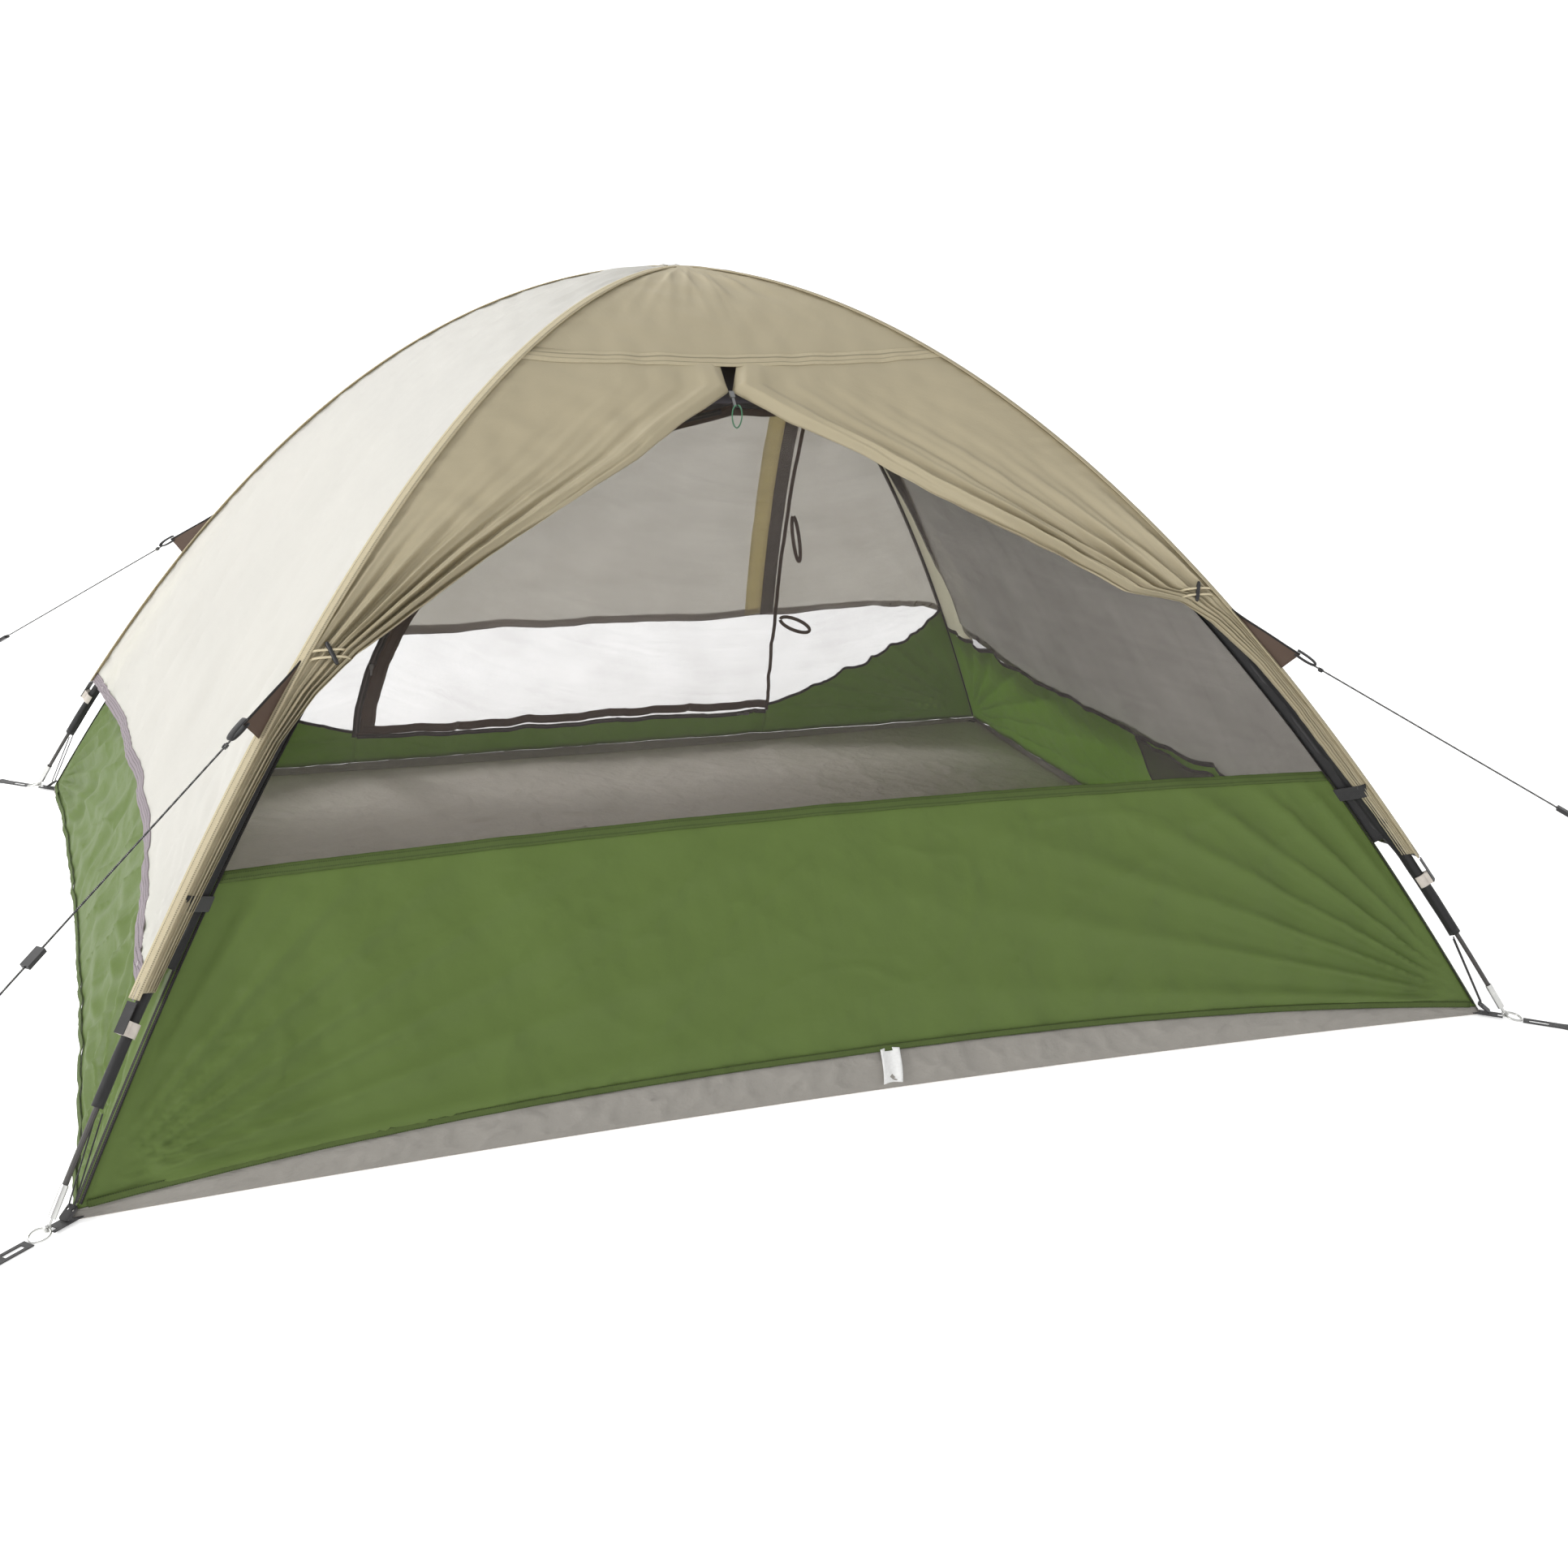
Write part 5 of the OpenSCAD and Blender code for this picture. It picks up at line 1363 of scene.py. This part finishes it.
class TENT_OT_poles(bpy.types.Operator):
    """Finish the poles, tips, rings and stake loops, and make the pole sleeves"""
    bl_idname = "tent.poles"
    bl_label = "Poles and sleeves"

    def execute(self, context):
        shape = tent_shape()
        sleeve(shape, "sleeve_front_left", shape.turn, 0.0)
        sleeve(shape, "sleeve_front_right", -shape.turn, 0.020)
        for k, corner in enumerate(CORNERS):
            sleeve_web(shape, k, corner)
        refinish("pole", "pole_front_left", "pole_front_right")
        refinish("ferrule_steel", "pole_ferrules")
        refinish("steel", "pole_tips", "corner_pins", "corner_rings")
        refinish("black_plastic", "corner_hooks")
        refinish("webbing", "sleeve_elastics", "corner_webbing",
                 *["stake_loop_" + corner for corner in CORNERS])
        return {"FINISHED"}


# ---- Guy tabs, toggles, straps, loops ----
TAB_REACH, TAB_LONG, TAB_HIGH = 1.100, 0.140, 0.042
LOOP_FALL = radians(29)  # slope of the guy tabs' loops, along the lines


def guy_tab(shape, k, corner):
    """Triangular tab that stands on a ridge, its height a power of the way down it, with a bound
    edge. Gives the tip, as reach and height."""
    slope = atan2(shape.fly.top * 1.9 * 0.68 ** 0.9, shape.fly.base)
    t, s = span(40, 24, 0)
    r = TAB_REACH + (TAB_REACH + TAB_LONG * cos(slope) - TAB_REACH) * s
    out = TAB_HIGH * s ** 1.15 * t + 0.001
    steep = np.gradient(shape.fly.rise(r[0]), r[0])[None, :]
    way = unit(joined(-steep, np.ones_like(steep)))
    along = r + way[..., 0] * out
    up = shape.fly.rise(r) + way[..., 1] * out
    sway = 0.0016 * np.sin(t * 3 + k) * np.sin(s * 9)
    points = shape.corner_plane(k, along, sway, up)
    tab = grid_piece("guy_tab_" + corner, points, cloth_uv(points), wall=0.0014, wall_to=0)
    dress(tab, "brown_cloth", TENT, ["guy_tabs"])
    rim = smooth_path(points[-1], 0.004)
    edge = sweep("guy_tab_edge_" + corner, rim, shape.corner_plane(k, 0, 1.0, 0), 0.004, 0.0032, 8, 0.8)
    dress(edge, "binding")
    return np.array([along[-1, -1], up[-1, -1]])


def guy_tab_loop(shape, k, corner, tip):
    """Webbing loop from a tab's tip: out and back along the line by sin, apart by cos."""
    t = np.linspace(0, pi, 44)
    way = np.array([cos(LOOP_FALL), -sin(LOOP_FALL)])
    side_way = np.array([sin(LOOP_FALL), cos(LOOP_FALL)])
    loop = (tip + way * (-0.008 + 0.041 * np.sin(t))[:, None]
            + side_way * (0.0045 * np.cos(t) * (1 + 0.5 * np.sin(t)))[:, None])
    path = shape.corner_plane(k, loop[:, 0], 0.0, loop[:, 1])
    flat = unit(np.cross(np.gradient(path, axis=0), shape.corner_plane(k, 0.0, 1.0, 0.0)))
    strap = sweep("guy_tab_loop_" + corner, path, flat, 0.011, 0.0036, 10, 0.6)
    dress(strap, "webbing", TENT, ["guy_tab_loops"])


class TENT_OT_guy_tabs(bpy.types.Operator):
    """Make the brown guy tabs on the ridges, each with its webbing loop"""
    bl_idname = "tent.guy_tabs"
    bl_label = "Guy tabs"

    def execute(self, context):
        shape = tent_shape()
        for k, corner in enumerate(CORNERS):
            guy_tab_loop(shape, k, corner, guy_tab(shape, k, corner))
        return {"FINISHED"}


def toggle(shape, k, hand, name):
    """Barrel toggle, a swollen rod turned round its axis, and the two loops that hold it."""
    node = name + "_toggle"
    r = shape.fly.reach(TOGGLES[k])
    half = shape.half(FRONT, r)
    u = hand * (half - 0.060 + 0.018) / half
    out = shape.normal(FRONT, r, u, shape.fly)
    across = unit(shape.point(FRONT, r, u + 0.01, shape.fly) - shape.point(FRONT, r, u - 0.01, shape.fly))
    up = np.cross(out, across)
    tilt = radians(-18 * hand)
    axis = up * cos(tilt) - across * sin(tilt)
    t = np.linspace(0, pi, 30)
    profile = np.stack([0.0042 * np.sin(t) ** 0.45 * (1 - 0.12 * np.sin(t) ** 8) + 1e-4,
                        -0.0200 * np.cos(t)], -1)
    barrel = turned(node + "_barrel", profile, np.array(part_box(node)).mean(0),
                    np.array([out, np.cross(axis, out), axis]), 18)
    dress(barrel, "black_plastic", node, [node])
    t = np.linspace(-1, 1, 60)[:, None]
    path = (shape.point(FRONT, r, u, shape.fly) + across * (hand * 0.004 + 0.033 * t)
            + out * (0.0135 * (1 - t ** 4) - 0.004))
    for row, shift in (("upper", 0.006), ("lower", -0.006)):
        loop = sweep("toggle_loop_" + name + "_" + row, path + up * shift, up, 0.0018, 0.0040, 10, 0.7)
        dress(loop, "loop_tape", TENT, ["toggle_loops"])


def wall_strap(shape, k, name):
    """Strap from the front wall's top corner, round the pole and back, square to the pole."""
    z = shape.sizes.front_wall - 0.018
    pole, inner, bend = shape.pole.reach(z), shape.inner.reach(z), 0.0108
    t = np.linspace(-pi * 0.62, pi * 0.62, 50)
    arc = np.stack([pole + bend * np.cos(t), bend * np.sin(t), z + 0 * t], -1)
    ends = np.array([[[inner - 0.012, side * 0.004, z]] for side in (-1, 1)])
    route = smooth_path(np.concatenate([ends[0], arc, ends[1]]), 0.002)
    route[:, 2] += (route[:, 0] - pole) * 0.35
    lean = unit(shape.corner_plane(k, -0.55, 0.0, 1.0))
    strap = sweep("wall_strap_" + name, shape.corner_plane(k, *route.T), lean, 0.0016, 0.024, 12, 0.5)
    dress(strap, "webbing", TENT, ["wall_corner_straps"])


def pull_cord():
    """Cord loop that hangs from the front zip's slider: an ellipse with a slight twist."""
    low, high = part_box("zip_pull_cord")
    angle = np.linspace(0.12, 2 * pi - 0.12, 80)
    x = (low[0] + high[0]) / 2 + 0.009 * np.sin(angle)
    y = low[1] + 0.006 - 0.0015 * np.sin(angle * 2)
    z = high[2] + 0.004 - 0.022 * (1 - np.cos(angle)) * 0.9
    path = smooth_path(np.stack([x, y, z], -1), 0.0015)
    cord = tube("zip_pull_cord_loop", path, 0.0024, (0, -1, 0.05), 10)
    dress(cord, "pull_cord", "front_zip", ["zip_pull_cord"])
    path_length(path)


def tie_loop(shape, name, z, lean, long, wide, swing):
    """Tape loop on the rear door's sewn edge that hangs by long and leans by lean: an ellipse
    wide across it, and swing tilts it."""
    base = rear_points(shape, np.array(door_sewn(z) + 0.012), np.array(z), -0.006)
    angle = np.linspace(0.05, 2 * pi - 0.05, 90)
    x = base[0] + wide * np.sin(angle) + lean * (1 - np.cos(angle)) / 2
    z = base[2] - long / 2 * (1 - np.cos(angle)) + swing * np.sin(angle)
    y = base[1] - 0.004 + (z - base[2]) * 0.25
    path = smooth_path(np.stack([x, y, z], -1), 0.002)
    loop = sweep(name, path, (0.0, -1.0, 0.0), 0.009, 0.0018, 10, 0.5)
    dress(loop, "brown_tape", TENT, ["door_tie_loops"])


def wall_pocket(shape):
    """Net pocket on the right wall, its top edge sagging open by a half sine, and its bindings."""
    t, u = span(30, 60, -0.72, -0.10)
    z = 0.280 - 0.175 * t + 0 * u
    sag = 0.006 + 0.010 * np.sin(pi * (u + 0.72) / 0.62) * (1 - t) ** 1.5
    points = shape.inner_skin(RIGHT, shape.inner.reach(z), u, -sag)
    sheet_piece("wall_pocket_net", points, "pocket_net", ["wall_pocket"], 0.0006)
    for name, line in (("top", points[0]), ("front", points[:, 0]), ("rear", points[:, -1])):
        edge = sweep("wall_pocket_edge_" + name, smooth_path(line, 0.006), (1.0, 0, 0.4), 0.009, 0.0016,
                     8, 0.6)
        dress(edge, "binding")


class TENT_OT_fasteners(bpy.types.Operator):
    """Make the toggles, their loops, the wall straps, pull cord, tie loops and pocket"""
    bl_idname = "tent.fasteners"
    bl_label = "Fasteners and pocket"

    def execute(self, context):
        shape = tent_shape()
        toggle(shape, 0, -1, "left")
        toggle(shape, 1, 1, "right")
        wall_strap(shape, 0, "left")
        wall_strap(shape, 1, "right")
        pull_cord()
        refinish("slider", "front_zip_slider", "rear_side_slider", "rear_sill_slider")
        tie_loop(shape, "door_tie_loop_upper", 0.665, 0.008, 0.105, 0.008, 0.0)
        tie_loop(shape, "door_tie_loop_lower", 0.372, 0.078, 0.030, 0.002, 0.014)
        wall_pocket(shape)
        return {"FINISHED"}


# ---- Stage ----
STAGE_FLAT, STAGE_BEND, STAGE_TURNS = 14.0, 8.0, 96  # radii of the flat and of the bend, columns


def stage_floor():
    """Pale paper: flat to a radius, then a quarter circle upwards, turned round the middle."""
    t = np.linspace(0, 1, 60)[1:] * pi / 2
    flat = np.linspace(0.01, STAGE_FLAT, 24)
    r = np.concatenate([flat, STAGE_FLAT + STAGE_BEND * np.sin(t)])[:, None]
    z = np.concatenate([0 * flat, STAGE_BEND * (1 - np.cos(t))])[:, None] - 0.0005
    a = np.linspace(0, 2 * pi, STAGE_TURNS + 1)
    points = joined(r * np.cos(a[:-1]), r * np.sin(a[:-1]), z)
    uv = np.zeros((len(r), len(a), 2))
    paper = grid_piece("stage_floor", points[:, ::-1], uv, around=True)
    f = Finish("stage_paper")
    tone = f.blend(f.noise(f.place(), 1.5, 2.0), (0.93, 0.93, 0.93), (0.90, 0.90, 0.90))
    paper.data.materials.append(f.close({"Base Color": tone, "Roughness": 0.9,
                                         "Specular IOR Level": 0.1, "Emission Color": (1, 1, 1, 1),
                                         "Emission Strength": 0.42}))


class TENT_OT_stage(bpy.types.Operator):
    """Make the pale floor and the soft lights"""
    bl_idname = "tent.stage"
    bl_label = "Stage and lights"

    def execute(self, context):
        view = context.scene.tent_view
        stage_floor()
        world = bpy.data.worlds.new("stage_world")
        world.use_nodes = True
        sky = world.node_tree.nodes["Background"].inputs
        sky["Color"].default_value = (1.0, 1.0, 1.0, 1.0)
        sky["Strength"].default_value = 0.72
        context.scene.world = world
        context.scene.view_settings.view_transform = "Standard"
        for name, place, power, size in (("key_light", (-2.6, 4.6, 5.2), view.key, 3.0),
                                         ("fill_light", (-6.2, -2.6, 3.0), view.fill, 1.6)):
            lamp = bpy.data.lights.new(name, "AREA")
            lamp.energy, lamp.size = power, size
            light = bpy.data.objects.new(name, lamp)
            light.location = place
            light.rotation_mode = "QUATERNION"
            light.rotation_quaternion = (Vector((0, 0, 0.4)) - Vector(place)).to_track_quat("-Z", "Y")
            context.scene.collection.objects.link(light)
        return {"FINISHED"}


OPERATORS = (TENT_OT_camera, TENT_OT_guylines, TENT_OT_fly, TENT_OT_door_flaps, TENT_OT_fly_trim,
             TENT_OT_walls, TENT_OT_nets, TENT_OT_bindings, TENT_OT_floor, TENT_OT_poles,
             TENT_OT_guy_tabs, TENT_OT_fasteners, TENT_OT_stage)


class TENT_PT_panel(bpy.types.Panel):
    """Lists the tent's makers and its sizes and colours"""
    bl_idname = "TENT_PT_panel"
    bl_label = "Dome tent"
    bl_space_type = "VIEW_3D"
    bl_region_type = "UI"
    bl_category = "Tent"

    def draw(self, context):
        for operator in OPERATORS:
            self.layout.operator(operator.bl_idname)
        for group in (context.scene.tent_sizes, context.scene.tent_colours, context.scene.tent_view):
            box = self.layout.box()
            for name in group.__annotations__:
                box.prop(group, name)


CLASSES = (TentSizes, TentColours, TentView, *OPERATORS, TENT_PT_panel)


def register():
    """Registers the classes and hangs the settings on the scene."""
    for each in CLASSES:
        bpy.utils.register_class(each)
    bpy.types.Scene.tent_sizes = PointerProperty(type=TentSizes)
    bpy.types.Scene.tent_colours = PointerProperty(type=TentColours)
    bpy.types.Scene.tent_view = PointerProperty(type=TentView)


def unregister():
    """Takes the settings and classes away again."""
    del bpy.types.Scene.tent_view, bpy.types.Scene.tent_colours, bpy.types.Scene.tent_sizes
    for each in reversed(CLASSES):
        bpy.utils.unregister_class(each)


def main():
    """Builds everything in order."""
    register()
    for operator in OPERATORS:
        getattr(bpy.ops.tent, operator.bl_idname.split(".")[1])()


if __name__ == "__main__":
    main()
